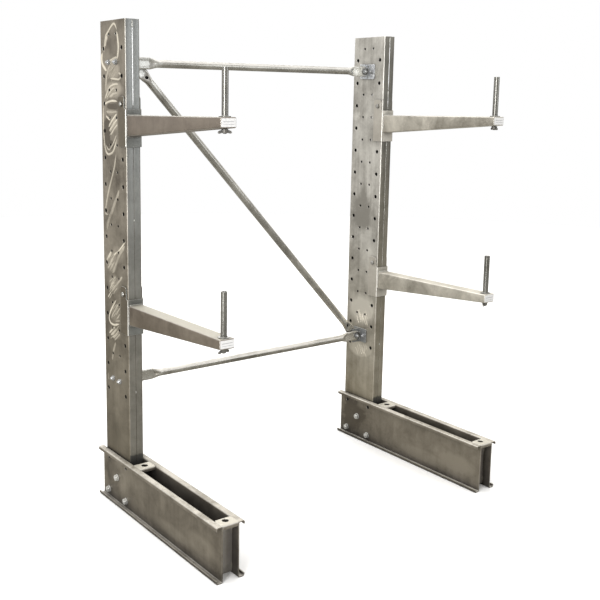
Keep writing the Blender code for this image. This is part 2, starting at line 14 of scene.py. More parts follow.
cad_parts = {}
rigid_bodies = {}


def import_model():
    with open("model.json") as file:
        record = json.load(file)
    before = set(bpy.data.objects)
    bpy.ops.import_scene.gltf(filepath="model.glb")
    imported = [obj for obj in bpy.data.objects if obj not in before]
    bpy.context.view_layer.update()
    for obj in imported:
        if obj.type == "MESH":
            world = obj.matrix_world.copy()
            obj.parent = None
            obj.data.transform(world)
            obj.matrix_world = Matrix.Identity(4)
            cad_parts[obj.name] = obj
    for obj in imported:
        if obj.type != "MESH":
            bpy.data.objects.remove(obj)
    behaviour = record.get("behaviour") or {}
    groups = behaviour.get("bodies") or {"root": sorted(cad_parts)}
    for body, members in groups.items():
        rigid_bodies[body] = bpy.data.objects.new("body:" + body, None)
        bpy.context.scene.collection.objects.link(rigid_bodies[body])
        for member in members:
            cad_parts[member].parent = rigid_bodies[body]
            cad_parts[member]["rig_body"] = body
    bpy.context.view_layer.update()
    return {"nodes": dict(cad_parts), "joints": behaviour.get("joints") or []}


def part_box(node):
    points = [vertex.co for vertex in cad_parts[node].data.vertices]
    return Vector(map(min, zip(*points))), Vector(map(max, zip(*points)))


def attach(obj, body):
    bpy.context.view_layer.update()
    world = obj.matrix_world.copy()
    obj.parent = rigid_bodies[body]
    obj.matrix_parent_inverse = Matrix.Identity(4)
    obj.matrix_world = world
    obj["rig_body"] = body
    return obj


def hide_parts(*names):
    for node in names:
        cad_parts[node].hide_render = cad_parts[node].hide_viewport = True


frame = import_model()

X, Y, Z = 0, 1, 2
SIDES = {"left": -1, "right": 1}
LEVELS = ("upper", "lower")
JOINTS = {joint["name"]: joint for joint in frame["joints"]}

# Sheet and section details that a node's box doesn't hold, in metres.
SHEET = 0.004
BEND = 0.003
COLUMN_LIP = 0.014
COLUMN_SLOT = 0.004
OUTER_HOLE_EDGE = 0.028
INNER_HOLE_OFFSET = 0.0275
OUTER_HOLE = 0.008
INNER_HOLE = 0.0055
HOLE_ROWS = 14
ROWS_BETWEEN_ARMS = 7
UPPER_ARM_ROW = 2
BASE_LIP = 0.011
EDGE_CHAMFER = 0.0005
HOLE_CHAMFER = 0.0006
BASE_HOLE_DROP = 0.035  # from a base's top to its empty upper bolt holes
CAP_HOLE_SETBACK = 0.033
CAP_HOLE = 0.0115
SPACER_HOLE = 0.0125

ARM_WIDTH = 0.057
ARM_ROOT_TOP = -0.039  # heights from the lock pin's axis
ARM_TIP_TOP = -0.032
ARM_TIP_BOTTOM = -0.066
ARM_CORNER = 0.005
SADDLE_TOP = -0.0185
EAR_SETBACK = 0.003
EAR_CORNER = 0.012
EAR_FILLET = 0.008
LOCK_PIN_HOLE = 0.0077
LOCK_PIN_HEAD = 0.0060
LOCK_PIN_SHANK = 0.795  # its radius as a share of the head's
LOCK_PIN_POINT = 0.0020
STOP_PIN_SETBACK = 0.021
STOP_PIN_RADIUS = 0.01065
STOP_PIN_BORE = 0.0078
STOP_PIN_BORE_END = 0.025  # how far above the arm the bore stops
STOP_PIN_CHAMFER = 0.0007
COLLAR_THICKNESS = 0.003
COLLAR_FILLET = 0.0016
STUD_RADIUS = 0.006
STUD_RUNOUT = 0.012  # from the arm's top to the end of the thread
WING_NUT_RADIUS = 0.011
WING_NUT_DEPTH = 0.013
WING_SPAN = 0.052
WING_THICKNESS = 0.004
WING_NUT_TURNS = {
    "left_upper": -5,
    "left_lower": 10,
    "right_upper": 70,
    "right_lower": 25,
}
LIP_SECTION = [  # of the zinc by the slot: from the column's middle, and in from its face
    (0.0090, 0.0001),
    (0.0009, 0.0001),
    (0.0005, 0.0006),
    (0.0005, 0.0045),
    (0.0090, 0.0035),
]
BEAD_RADIUS = 0.0019
BEAD_SINK = 0.0004
HIGHLIGHT_BEADS = {  # heights between which the slot's zinc stands proud, painted near-white as a highlight along the slot
    "left": [(1.826, 1.545)],
    "right": [(1.824, 1.624), (1.594, 1.547)],
}
STITCH_RADIUS = 0.0026
STITCH_SINK = 0.0012
TOP_STITCH = (0.003, 0.030)  # down from the column's top
STITCHES = {  # heights of the other stitch welds
    "left": [(1.132, 1.124), (0.475, 0.466)],
    "right": [(1.617, 1.586), (0.475, 0.466)],
}
SEAM_RADIUS = 0.0034  # the welds along the plates in the bases
SEAM_SINK = 0.0030
SEAM_INSET = 0.0014
SEAM_END = 0.003
WEB_WELD_RADIUS = 0.0016
WEB_WELD_INSET = 0.0006
WEB_WELDS = ((0.020, 0.040), (0.145, 0.165))
WASHER = 0.0014
LARGE_FLAT = 0.009  # half across the flats, over which a bolt is a large one
LARGE_BOLT = {"shank": 0.0062, "nut": 0.010, "head": 0.008, "end": 0.003, "look": "bright_zinc"}
SMALL_BOLT = {"shank": 0.0043, "nut": 0.007, "head": 0.006, "end": 0.007, "look": "bolt_zinc"}
BEAM_CHAMFER = 0.0012
ROOT_WELD = 0.0030
LABEL_HEIGHT = 0.027
LABEL_WIDTH = 0.053
LABEL_THICKNESS = 0.0005
LABEL_CORNER = 0.0018

BRACE_RADIUS = 0.015
BRACE_FLAT_HEIGHT = 0.044
BRACE_FLAT_THICKNESS = 0.005
BRACE_END = 0.018
BRACE_FLAT = 0.055
BRACE_TAPER = 0.040
BRACE_RIM = (0.0165, 0.0045)  # height above the middle and width of the pressed end's fuller rims
BRACE_PINCH = (0.0042, 0.0065)  # depth and width of the crease where the tube starts to flatten
VENT_REACH = 0.072  # from a brace's bolt to its vent hole
VENT_RADIUS = 0.0060
VENT_DEPTH = 0.012
BRACKET_PLATE = 0.004
BRACKET_CORNER = 0.006
BRACKET_WELD = 0.0026
BRACES = {
    "top_brace": (("left", "top"), ("right", "top")),
    "bottom_brace": (("left", "bottom"), ("right", "bottom")),
    "diagonal_brace": (("left", "top"), ("right", "bottom")),
}

DRAIN_SCALE = (42.0, 42.0, 2.4)  # streaks that are long in Z
SIDEWAYS = (0.75, 0.95)  # how far a normal leans to Y as a face starts and ends being a front
# Radius of the bevelled edges that are painted pale, partly as wear and partly as a painted edge highlight
WORN_AND_LIT_EDGE = 0.0016


# ---------------------------------------------------------------- meshes


def low(node):
    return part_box(node)[0]


def high(node):
    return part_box(node)[1]


def middle(node):
    return (low(node) + high(node)) / 2


def put(axis, along, a, b):
    """The point at along on axis, with a and b on the two others in X, Y, Z order."""
    if axis == X:
        return Vector((along, a, b))
    if axis == Y:
        return Vector((a, along, b))
    return Vector((a, b, along))


def loft(rings):
    """A closed bmesh through rings of equally many points."""
    shape = bmesh.new()
    layers = [[shape.verts.new(point) for point in ring] for ring in rings]
    for lower, upper in zip(layers, layers[1:]):
        count = len(lower)
        for i in range(count):
            j = (i + 1) % count
            shape.faces.new((lower[i], lower[j], upper[j], upper[i]))
    shape.faces.new(layers[0])
    shape.faces.new(layers[-1])
    bmesh.ops.recalc_face_normals(shape, faces=shape.faces)
    return shape


def joined(shapes):
    whole = bmesh.new()
    for shape in shapes:
        mesh = bpy.data.meshes.new("part")
        shape.to_mesh(mesh)
        shape.free()
        whole.from_mesh(mesh)
        bpy.data.meshes.remove(mesh)
    return whole


def piece_of(name, shape, material, angle=32):
    """An object of this bmesh, smooth except where faces meet at more than angle degrees."""
    mesh = bpy.data.meshes.new(name)
    shape.to_mesh(mesh)
    shape.free()
    made = bpy.data.objects.new(name, mesh)
    bpy.context.scene.collection.objects.link(made)
    if material is not None:
        mesh.materials.append(material)
    mesh.shade_smooth()
    mesh.set_sharp_from_angle(angle=math.radians(angle))
    return made


def carve(piece, cutters, operation="DIFFERENCE", angle=32):
    """Cuts or joins piece with these bmeshes for good."""
    helpers = []
    for number, shape in enumerate(cutters):
        helper = piece_of(f"{piece.name}_cutter_{number}", shape, None)
        modifier = piece.modifiers.new("carve", "BOOLEAN")
        modifier.operation = operation
        modifier.solver = "EXACT"
        modifier.object = helper
        helpers.append(helper)
    bpy.context.view_layer.update()
    graph = bpy.context.evaluated_depsgraph_get()
    carved = bpy.data.meshes.new_from_object(piece.evaluated_get(graph))
    piece.modifiers.clear()
    old = piece.data
    piece.data = carved
    bpy.data.meshes.remove(old)
    for helper in helpers:
        bpy.data.objects.remove(helper)
    carved.shade_smooth()
    carved.set_sharp_from_angle(angle=math.radians(angle))


def stand_for(piece, node):
    """The piece takes this node's place and body, and the node is hidden."""
    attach(piece, frame["nodes"][node]["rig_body"])
    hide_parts(node)


def on_body(piece, body):
    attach(piece, body)


def fine(node, shape, look, angle=32):
    """The finer piece for a node, in one of the looks."""
    return piece_of(f"{node}_fine", shape, MATERIALS[look], angle)


def add_trim(name, shapes, look, body, angle=60):
    """Beads, runs or filler, as one piece that rides on a body."""
    on_body(piece_of(name, joined(shapes), MATERIALS[look], angle), body)


def circle(radius, sides):
    turns = [2 * math.pi * i / sides for i in range(sides)]
    return [(radius * math.cos(turn), radius * math.sin(turn)) for turn in turns]


def lathe(profile, axis, centre, sides=40):
    """A round body from (along, radius) pairs, about the axis through centre."""
    a0, b0 = [centre[i] for i in range(3) if i != axis]
    rings = []
    for along, radius in profile:
        outline = circle(radius, sides)
        rings.append([put(axis, centre[axis] + along, a0 + a, b0 + b) for a, b in outline])
    return loft(rings)


def bent_sheet(path, thickness, steps=7):
    """The outline of a sheet of this thickness, folded along its middle line."""
    points = [Vector(p) for p in path]
    middle_radius = BEND + SHEET / 2
    one_side, other_side = [], []
    heading = (points[1] - points[0]).normalized()

    def offset(point, hand):
        normal = Vector((-heading.y, heading.x))
        return tuple(point + normal * hand * thickness / 2)

    one_side.append(offset(points[0], 1))
    other_side.append(offset(points[0], -1))
    for before, here, after in zip(points, points[1:], points[2:]):
        into = (here - before).normalized()
        out = (after - here).normalized()
        turn = math.atan2(into.cross(out), into.dot(out))
        hand = math.copysign(1, turn)
        tangent = here - into * middle_radius * math.tan(abs(turn) / 2)
        centre = tangent + Vector((-into.y, into.x)) * hand * middle_radius
        first = (tangent - centre).normalized()
        for step in range(steps + 1):
            spoke = first.copy()
            spoke.rotate(Matrix.Rotation(turn * step / steps, 2))
            one_side.append(tuple(centre + spoke * (middle_radius - hand * thickness / 2)))
            other_side.append(tuple(centre + spoke * (middle_radius + hand * thickness / 2)))
        heading = out
    one_side.append(offset(points[-1], 1))
    other_side.append(offset(points[-1], -1))
    return one_side + other_side[::-1]


def folded(path, axis, start, end):
    """A folded sheet run along axis, with its cut ends a little rounded off."""
    full = bent_sheet(path, SHEET)
    thin = bent_sheet(path, SHEET - 2 * EDGE_CHAMFER)
    steps = [(start, thin), (start + EDGE_CHAMFER, full), (end - EDGE_CHAMFER, full), (end, thin)]
    return loft([[put(axis, along, a, b) for a, b in outline] for along, outline in steps])


def rounded(corners, steps=6):
    """An outline from (across, up, radius) corners, each turned into an arc of its radius."""
    outline = []
    for i, (x, y, radius) in enumerate(corners):
        here = Vector((x, y))
        if radius == 0:
            outline.append((x, y))
            continue
        before = (Vector(corners[i - 1][:2]) - here).normalized()
        after = (Vector(corners[(i + 1) % len(corners)][:2]) - here).normalized()
        half = before.angle(after) / 2
        centre = here + (before + after).normalized() * radius / math.sin(half)
        first = here + before * radius / math.tan(half) - centre
        last = here + after * radius / math.tan(half) - centre
        turn = math.atan2(first.cross(last), first.dot(last))
        for step in range(steps + 1):
            spoke = first.copy()
            spoke.rotate(Matrix.Rotation(turn * step / steps, 2))
            outline.append(tuple(centre + spoke))
    return outline


def slab(outline, axis, start, end, chamfer=EDGE_CHAMFER):
    """A plate of this outline, its faces' edges chamfered by scaling towards its middle."""
    count = len(outline)
    ca = sum(a for a, _ in outline) / count
    cb = sum(b for _, b in outline) / count
    small = []
    for a, b in outline:
        away = Vector((a - ca, b - cb))
        share = 1 - chamfer / max(away.length, chamfer * 2)
        small.append((ca + away.x * share, cb + away.y * share))
    way = math.copysign(1, end - start)
    steps = [(start, small), (start + way * chamfer, outline), (end - way * chamfer, outline), (end, small)]
    return loft([[put(axis, along, a, b) for a, b in ring] for along, ring in steps])


def box_outline(a0, a1, b0, b1, corner, steps=4):
    return rounded([(a0, b0, corner), (a1, b0, corner), (a1, b1, corner), (a0, b1, corner)], steps)


def holes(axis, centres, radius, outside, inside, sides=24):
    """Cutters for round holes through a sheet between two faces, with a chamfer at each face."""
    way = math.copysign(1, inside - outside)
    reach = 0.002
    profile = [
        (outside - way * reach, radius + HOLE_CHAMFER + reach),
        (outside + way * HOLE_CHAMFER, radius),
        (inside - way * HOLE_CHAMFER, radius),
        (inside + way * reach, radius + HOLE_CHAMFER + reach),
    ]
    shapes = []
    for a0, b0 in centres:
        rings = []
        for along, size in profile:
            rings.append([put(axis, along, a0 + a, b0 + b) for a, b in circle(size, sides)])
        shapes.append(loft(rings))
    return joined(shapes)


def resampled(points, step):
    """Points step apart on a smooth curve through the given ones, ends kept."""
    controls = [Vector(p) for p in points]
    controls = [2 * controls[0] - controls[1], *controls, 2 * controls[-1] - controls[-2]]
    made = []
    for p0, p1, p2, p3 in zip(controls, controls[1:], controls[2:], controls[3:]):
        count = max(1, round((p2 - p1).length / step))
        for i in range(count):
            t = i / count
            curve = 2 * p1 + (p2 - p0) * t + (2 * p0 - 5 * p1 + 4 * p2 - p3) * t * t
            made.append(0.5 * (curve + (3 * p1 - p0 - 3 * p2 + p3) * t * t * t))
    made.append(controls[-2])
    return made


def weld(points, radius, seed=0, ripple=0.13, step=0.0016, sides=10):
    """A rippled weld bead along a line of points."""
    chance = random.Random(seed)
    line = resampled(points, step)
    rings = []
    for i, here in enumerate(line):
        ahead = line[min(i + 1, len(line) - 1)] - line[max(i - 1, 0)]
        ahead.normalize()
        guide = Vector((0, 0, 1)) if abs(ahead.z) < 0.9 else Vector((0, 1, 0))
        across = ahead.cross(guide).normalized()
        up = across.cross(ahead)
        taper = min(1.0, 0.35 + 0.4 * min(i, len(line) - 1 - i))
        size = radius * taper * (1 + ripple * math.cos(i * 2 * math.pi / 3) + chance.uniform(-0.06, 0.06))
        rings.append([here + across * a + up * b for a, b in circle(size, sides)])
    return loft(rings)


# ---------------------------------------------------------------- materials


class Value:
    """A number or colour that varies over a surface. Arithmetic on it adds Math nodes."""

    def __init__(self, shader, socket):
        self.shader = shader
        self.socket = socket

    def __add__(self, other):
        return self.shader.math("ADD", self, other)

    def __sub__(self, other):
        return self.shader.math("SUBTRACT", self, other)

    def __mul__(self, other):
        return self.shader.math("MULTIPLY", self, other)

    def __truediv__(self, other):
        return self.shader.math("DIVIDE", self, other)

    def __abs__(self):
        return self.shader.math("ABSOLUTE", self)

    def greater(self, other):
        return self.shader.math("MAXIMUM", self, other)

    def distance(self, other):
        """How far a point is from the origin, with these two as its coordinates."""
        return self.shader.math("SQRT", self * self + other * other)

    def span(self, low_in, high_in, low_out=0.0, high_out=1.0):
        """This value carried from one range to another, and held at its ends."""
        inputs = {0: self, 1: low_in, 2: high_in, 3: low_out, 4: high_out}
        return self.shader.value("ShaderNodeMapRange", 0, inputs, clamp=True)


class Shader:
    """A material's node tree, built one call at a time."""

    def __init__(self, name):
        self.material = bpy.data.materials.new(name)
        self.material.use_nodes = True
        self.tree = self.material.node_tree
        self.surface = self.tree.nodes["Principled BSDF"].inputs

    def node(self, kind, inputs=None, **settings):
        made = self.tree.nodes.new(kind)
        for key, value in settings.items():
            setattr(made, key, value)
        for key, value in (inputs or {}).items():
            self.feed(made.inputs[key], value)
        return made

    def value(self, kind, output, inputs=None, **settings):
        """One output of a new node."""
        return Value(self, self.node(kind, inputs, **settings).outputs[output])

    def feed(self, socket, value):
        if isinstance(value, Value):
            self.tree.links.new(value.socket, socket)
        else:
            socket.default_value = value

    def math(self, operation, a, b=0.0, clamp=False):
        return self.value("ShaderNodeMath", 0, {0: a, 1: b}, operation=operation, use_clamp=clamp)

    def mix(self, factor, a, b):
        """Colour a, turning to colour b as the factor grows."""
        return self.value("ShaderNodeMix", 2, {0: factor, 6: a, 7: b}, data_type="RGBA")

    def noise(self, place, scale, detail=4.0, rough=0.6, twist=0.0):
        inputs = {"Vector": place, "Scale": scale, "Detail": detail, "Roughness": rough}
        return self.value("ShaderNodeTexNoise", "Fac", {**inputs, "Distortion": twist})

    def parts(self, vector):
        """The X, Y and Z of a vector."""
        return [Value(self, output) for output in self.node("ShaderNodeSeparateXYZ", {0: vector}).outputs]


def rgb(red, green, blue):
    """A colour for a shader from its 0 to 255 screen values."""

    def linear(value):
        value /= 255
        return value / 12.92 if value <= 0.04045 else ((value + 0.055) / 1.055) ** 2.4

    return (linear(red), linear(green), linear(blue), 1.0)


class Zinc(Shader):
    """Hot-dip zinc. Its methods each add one trait; tones are pairs of a dark and a light colour."""

    def __init__(self, name):
        super().__init__(name)
        place = self.value("ShaderNodeTexCoord", "Object")
        geometry = self.node("ShaderNodeNewGeometry").outputs
        self.normal = Value(self, geometry["Normal"])
        self.true_normal = Value(self, geometry["True Normal"])
        spaces = {"vector_type": "NORMAL", "convert_from": "WORLD", "convert_to": "OBJECT"}
        local = self.value("ShaderNodeVectorTransform", 0, {0: self.normal}, **spaces)
        self.x, self.y, self.z = self.parts(place)
        self.facing_x, self.facing_y, self.facing_z = self.parts(local)
        self.mottle = self.noise(place, 9.0, 6.0, 0.62, 0.5)
        self.patch = self.noise(place, 2.6, 3.0, 0.5, 0.3)
        upright = self.value("ShaderNodeMapping", 0, {"Vector": place, "Scale": DRAIN_SCALE})
        self.drain = self.noise(upright, 1.0, 4.0, 0.6)
        self.grain = self.noise(place, 380.0, 2.0, 0.7)
        cells = self.value("ShaderNodeTexVoronoi", "Color", {"Vector": place, "Scale": 105.0})
        self.spangle = self.value("ShaderNodeRGBToBW", 0, {0: cells})
        self.top_light_and_matte = None

    def between(self, tones):
        dark, light = tones
        return self.mix(self.tone, rgb(*dark), rgb(*light))

    def cover(self, factor, colour):
        self.colour = self.mix(factor, self.colour, colour)

    def dull(self, factor):
        """Takes the metal's shine away where the factor is high."""
        self.top_light_and_matte = self.top_light_and_matte.greater(factor)

    def add_tone(self, tones, streak, zones):
        """Clouds, drain streaks, spangle and grain, and the zones of a web that are paler or darker."""
        tone = (self.mottle - 0.5) * 1.5
        shares = ((self.patch, 1.3), (self.drain, streak), (self.spangle, 0.16), (self.grain, 0.22))
        for value, share in shares:
            tone = tone + (value - 0.5) * share
        for depth, height, half_depth, half_height, gain in zones:
            across = (self.y - (COLUMN_FRONT + depth)) / half_depth
            up = (self.z - height) / half_height
            away = across.distance(up) + (self.mottle - 0.5) * 1.2
            inside = away.span(1.0, 0.55) * self.facing_x.span(-0.8, -0.95)
            tone = tone + inside * gain
        self.tone = self.math("ADD", tone, 0.5, clamp=True)
        self.colour = self.between(tones)

    def add_tints(self, front, front_beyond, front_low, low_tint):
        """Other tones on the faces that look along Y, which are painted light and shade for how the lamps
        fall on them, or beyond a distance from the middle, and low down.
        """
        if front:
            ahead = abs(self.facing_y).span(*SIDEWAYS)
            if front_beyond:
                ahead = abs(self.x).span(front_beyond, front_beyond + 0.03)
            self.cover(ahead, self.between(front))
        if low_tint:
            height = self.z + self.patch * 0.3
            lower = height.span(0.35, 1.1, 1.0, 0.0)
            if front:
                lower = lower.greater(ahead * height.span(0.7, 1.6, 1.0, 0.0))
                lower = lower * abs(self.facing_y).span(*SIDEWAYS, 1.0, front_low)
            self.cover(lower, self.between(low_tint))

    def add_painted_top_light(self, top_light, top_light_from, top_light_tone, top_light_dark):
        """Painted light on the faces that look up: a pale, mottled tone for the light that falls on them
        from above.
        """
        tone = rgb(*top_light_tone)
        if top_light_dark:
            cloud = (self.mottle + self.spangle * 0.12).span(0.42, 0.66)
            tone = self.mix(cloud, rgb(*top_light_dark), tone)
        up = self.facing_z.span(top_light_from, top_light_from + 0.2)
        self.top_light_and_matte = up * self.mottle.span(0.25, 0.5, top_light * 0.7, top_light)
        self.cover(self.top_light_and_matte, tone)

    def add_wear_and_highlights(self, edge, bend, bend_from, bend_fade):
        """Pale worn edges, partly wear and partly a painted edge highlight, and a painted highlight along
        each cold bend.
        """
        wear_and_highlight = 0.0
        if edge:
            self.normal = self.value("ShaderNodeBevel", 0, {"Radius": WORN_AND_LIT_EDGE}, samples=6)
            pair = {0: self.normal, 1: self.true_normal}
            turned = self.value("ShaderNodeVectorMath", "Value", pair, operation="DOT_PRODUCT")
            wear_and_highlight = turned.span(0.995, 0.75) * edge
        if bend:
            flat = abs(self.facing_x).greater(abs(self.facing_y)).greater(abs(self.facing_z))
            shine = flat.span(bend_from, 0.74) * bend
            if bend_fade:
                shine = shine * self.z.span(*bend_fade, 0.15, 1.0)
            wear_and_highlight = self.math("MAXIMUM", wear_and_highlight, shine)
        if edge or bend:
            wear_and_highlight = wear_and_highlight * self.mottle.span(0.3, 0.6, 0.6, 1.0)
            self.cover(wear_and_highlight, rgb(250, 250, 246))

    def add_crests(self):
        """Paler zinc along the crest of each run."""
        ridge = self.value("ShaderNodeAttribute", "Fac", attribute_name="crest")
        glow = ridge * self.mottle.span(0.32, 0.62, 0.6, 1.0)
        self.cover(glow, rgb(236, 228, 210))
        self.dull(glow)

    def add_crevice_shade(self, crevice_shade, crevice_shade_tone, reach):
        """Painted shade in corners, recesses and under ledges, where little open space is around."""
        open_sky = self.value("ShaderNodeAmbientOcclusion", "AO", {"Distance": reach}, samples=8)
        self.cover(open_sky.span(0.25, 0.92, crevice_shade, 0.0), rgb(*crevice_shade_tone))

    def add_hollow(self, middle):
        """The unlit inside of the columns, whose middles are this far from X = 0."""
        off = abs(abs(self.x) - middle)
        within = off.span(0.0280, 0.0275) * abs(self.facing_x).span(0.8, 0.9)
        self.cover(within, self.mix(self.mottle, rgb(8, 8, 8), rgb(26, 25, 24)))
        self.dull(within)

    def add_painted_foot_reflection(self, top):
        # Painted reflection: the front faces just above the base are darkened and mottled, as the dark slot
        # in front of them would be mirrored there.
        height = self.z + (self.mottle - 0.5) * 0.03
        below = height.span(top, top - 0.008) * self.facing_y.span(-0.6, -0.8)
        self.cover(below * 0.85, self.mix(self.grain, rgb(40, 41, 40), rgb(92, 93, 92)))

    def add_vent_shade(self, x, z):
        """Painted shade inside a vent hole: a near-black disc where the hole's inside lies in shade."""
        away = (self.x - x).distance(self.z - z)
        inside = away.span(VENT_RADIUS + 0.0006, VENT_RADIUS + 0.0001)
        self.cover(inside, self.mix(self.mottle, rgb(6, 6, 6), rgb(20, 19, 18)))
        self.dull(inside)

    def finish(self, rough, metal, top_light_metal, bump):
        self.feed(self.surface["Base Color"], self.colour)
        self.feed(self.surface["Roughness"], rough.greater(0.18))
        shiny = self.top_light_and_matte.span(0.0, 1.0, metal, top_light_metal) if self.top_light_and_matte else metal
        self.feed(self.surface["Metallic"], shiny)
        if bump:
            relief = self.mottle * 0.6 + self.grain * 0.09 + self.drain * 0.12
            inputs = {"Strength": bump, "Distance": 0.0035, "Height": relief, "Normal": self.normal}
            self.feed(self.surface["Normal"], self.value("ShaderNodeBump", 0, inputs))
        return self.material


def zinc(
    name,
    tones,
    front=None,
    front_beyond=None,
    front_low=0.6,
    low_tint=None,
    zones=(),
    rough=0.42,
    metal=0.75,
    streak=0.5,
    bend=0.0,
    bend_from=0.93,
    bend_fade=None,
    edge=0.6,
    top_light=0.75,
    top_light_from=0.75,
    top_light_tone=(198, 193, 179),
    top_light_dark=None,
    top_light_metal=0.1,
    crest=False,
    crevice_shade=0.85,
    crevice_shade_tone=(30, 30, 30),
    reach=0.06,
    foot=None,
    hollow=None,
    vent_shades=(),
    bump=0.35,
):
    """A material of Zinc with these traits."""
    s = Zinc(name)
    s.add_tone(tones, streak, zones)
    s.add_tints(front, front_beyond, front_low, low_tint)
    roughness = (s.mottle - 0.5) * 0.3 + rough + (s.spangle - 0.5) * 0.1
    if top_light:
        s.add_painted_top_light(top_light, top_light_from, top_light_tone, top_light_dark)
        roughness = roughness + s.top_light_and_matte * 0.25
    s.add_wear_and_highlights(edge, bend, bend_from, bend_fade)
    if crest:
        s.add_crests()
    if crevice_shade:
        s.add_crevice_shade(crevice_shade, crevice_shade_tone, reach)
    if hollow:
        s.add_hollow(hollow)
    if foot:
        s.add_painted_foot_reflection(foot)
    for x, z in vent_shades:
        s.add_vent_shade(x, z)
    return s.finish(roughness, metal, top_light_metal, bump)


def paper(name):
    """A blank white sticker with two faint grey bands."""
    s = Shader(name)
    place = s.value("ShaderNodeTexCoord", "Generated")
    x, _, z = s.parts(place)
    smudge = s.noise(place, 5.0, 5.0, 0.6, 0.4)
    colour = s.mix(smudge.span(0.35, 0.75), rgb(246, 246, 246), rgb(226, 226, 228))
    for centre, half in ((0.62, 0.05), (0.30, 0.035)):
        band = abs(z - centre).span(half * 0.7, half, 1.0, 0.0)
        band = band * abs(x - 0.5).span(0.36, 0.40, 1.0, 0.0)
        colour = s.mix(band * 0.55, colour, rgb(120, 122, 128))
    s.feed(s.surface["Base Color"], colour)
    s.feed(s.surface["Roughness"], smudge.span(0.2, 0.8, 0.35, 0.6))
    return s.material


def studio_floor(name):
    """A pale floor to the eye, which throws less light back at the rack than it seems to."""
    s = Shader(name)
    cloud = s.noise(s.value("ShaderNodeTexCoord", "Object"), 1.5, 3.0, 0.5)
    pale = s.mix(cloud, rgb(246, 246, 246), rgb(250, 250, 249))
    seen = s.value("ShaderNodeLightPath", "Is Camera Ray")
    s.feed(s.surface["Base Color"], s.mix(seen, rgb(135, 133, 126), pale))
    s.feed(s.surface["Roughness"], 0.85)
    return s.material


def brace_ends(start, end):
    """The (x, z) of a brace's two bolts, each given as a side and a level."""
    bolts = [middle(f"{side}_{level}_brace_bolt") for side, level in (start, end)]
    return [Vector((bolt.x, 0, bolt.z)) for bolt in bolts]


def vent_spots():
    """The (x, z) of the vent holes by the diagonal brace's two pressed ends."""
    first, last = brace_ends(*BRACES["diagonal_brace"])
    along = (last - first).normalized() * VENT_REACH
    return [((first + along).x, (first + along).z), ((last - along).x, (last - along).z)]


COLUMN_FRONT = low("left_column_outer_half").y
COLUMN_INSIDE = (high("right_column_outer_half").x + low("right_column_inner_half").x) / 2
# How high the painted reflection of the bases' dark slots reaches up the columns' fronts
FOOT_REFLECTION_TOP = high("left_base_outer_channel").z + 0.026
SWIRLS = [  # (depth, height) of a zone of the left web, half its depth and height, and how much paler it is
    (0.105, 1.770, 0.050, 0.060, -0.15),
    (0.100, 1.720, 0.140, 0.150, 0.14),
    (0.095, 1.673, 0.055, 0.035, 0.70),
    (0.095, 1.600, 0.075, 0.032, 0.80),
    (0.110, 1.540, 0.055, 0.012, -0.60),
    (0.110, 1.520, 0.055, 0.012, 0.35),
    (0.150, 1.455, 0.032, 0.065, -0.80),
    (0.120, 1.400, 0.035, 0.020, -0.60),
    (0.090, 1.480, 0.040, 0.035, 0.45),
    (0.100, 1.305, 0.120, 0.080, -0.25),
    (0.135, 0.955, 0.050, 0.045, 0.50),
    (0.075, 0.995, 0.060, 0.035, 0.40),
    (0.115, 0.875, 0.050, 0.040, 0.55),
    (0.105, 0.760, 0.045, 0.045, 0.35),
    (0.112, 0.685, 0.050, 0.026, 0.65),
]
PATCHES = [  # the same for the right web, around its lower bracket
    (0.092, 0.618, 0.094, 0.076, 0.85),
    (0.090, 0.432, 0.080, 0.046, 1.00),
    (0.150, 1.565, 0.060, 0.090, -0.30),
    (0.060, 1.335, 0.090, 0.060, 0.25),
    (0.110, 1.085, 0.060, 0.120, -0.25),
    (0.050, 0.865, 0.070, 0.080, 0.20),
]
BASE_WEB_ZONES = [  # the same for the webs of the bases, two paler zones low towards the front and one darker zone
    (-0.520, 0.080, 0.110, 0.045, 0.40),
    (-0.330, 0.050, 0.160, 0.030, 0.30),
    (0.130, 0.110, 0.090, 0.080, -0.45),
]
DULLED = [(-0.480, 1.480, 0.260, 0.060, -0.30)]  # the outer part of the right upper arm
# The first two are painted light and shade: tones for the faces that look along Y, for how they are lit
LIT_FRONT = ((132, 134, 133), (172, 175, 174))
LIP = ((126, 120, 110), (168, 161, 149))
DARK = ((72, 74, 72), (124, 126, 124))
SILVER = ((186, 186, 182), (232, 232, 228))

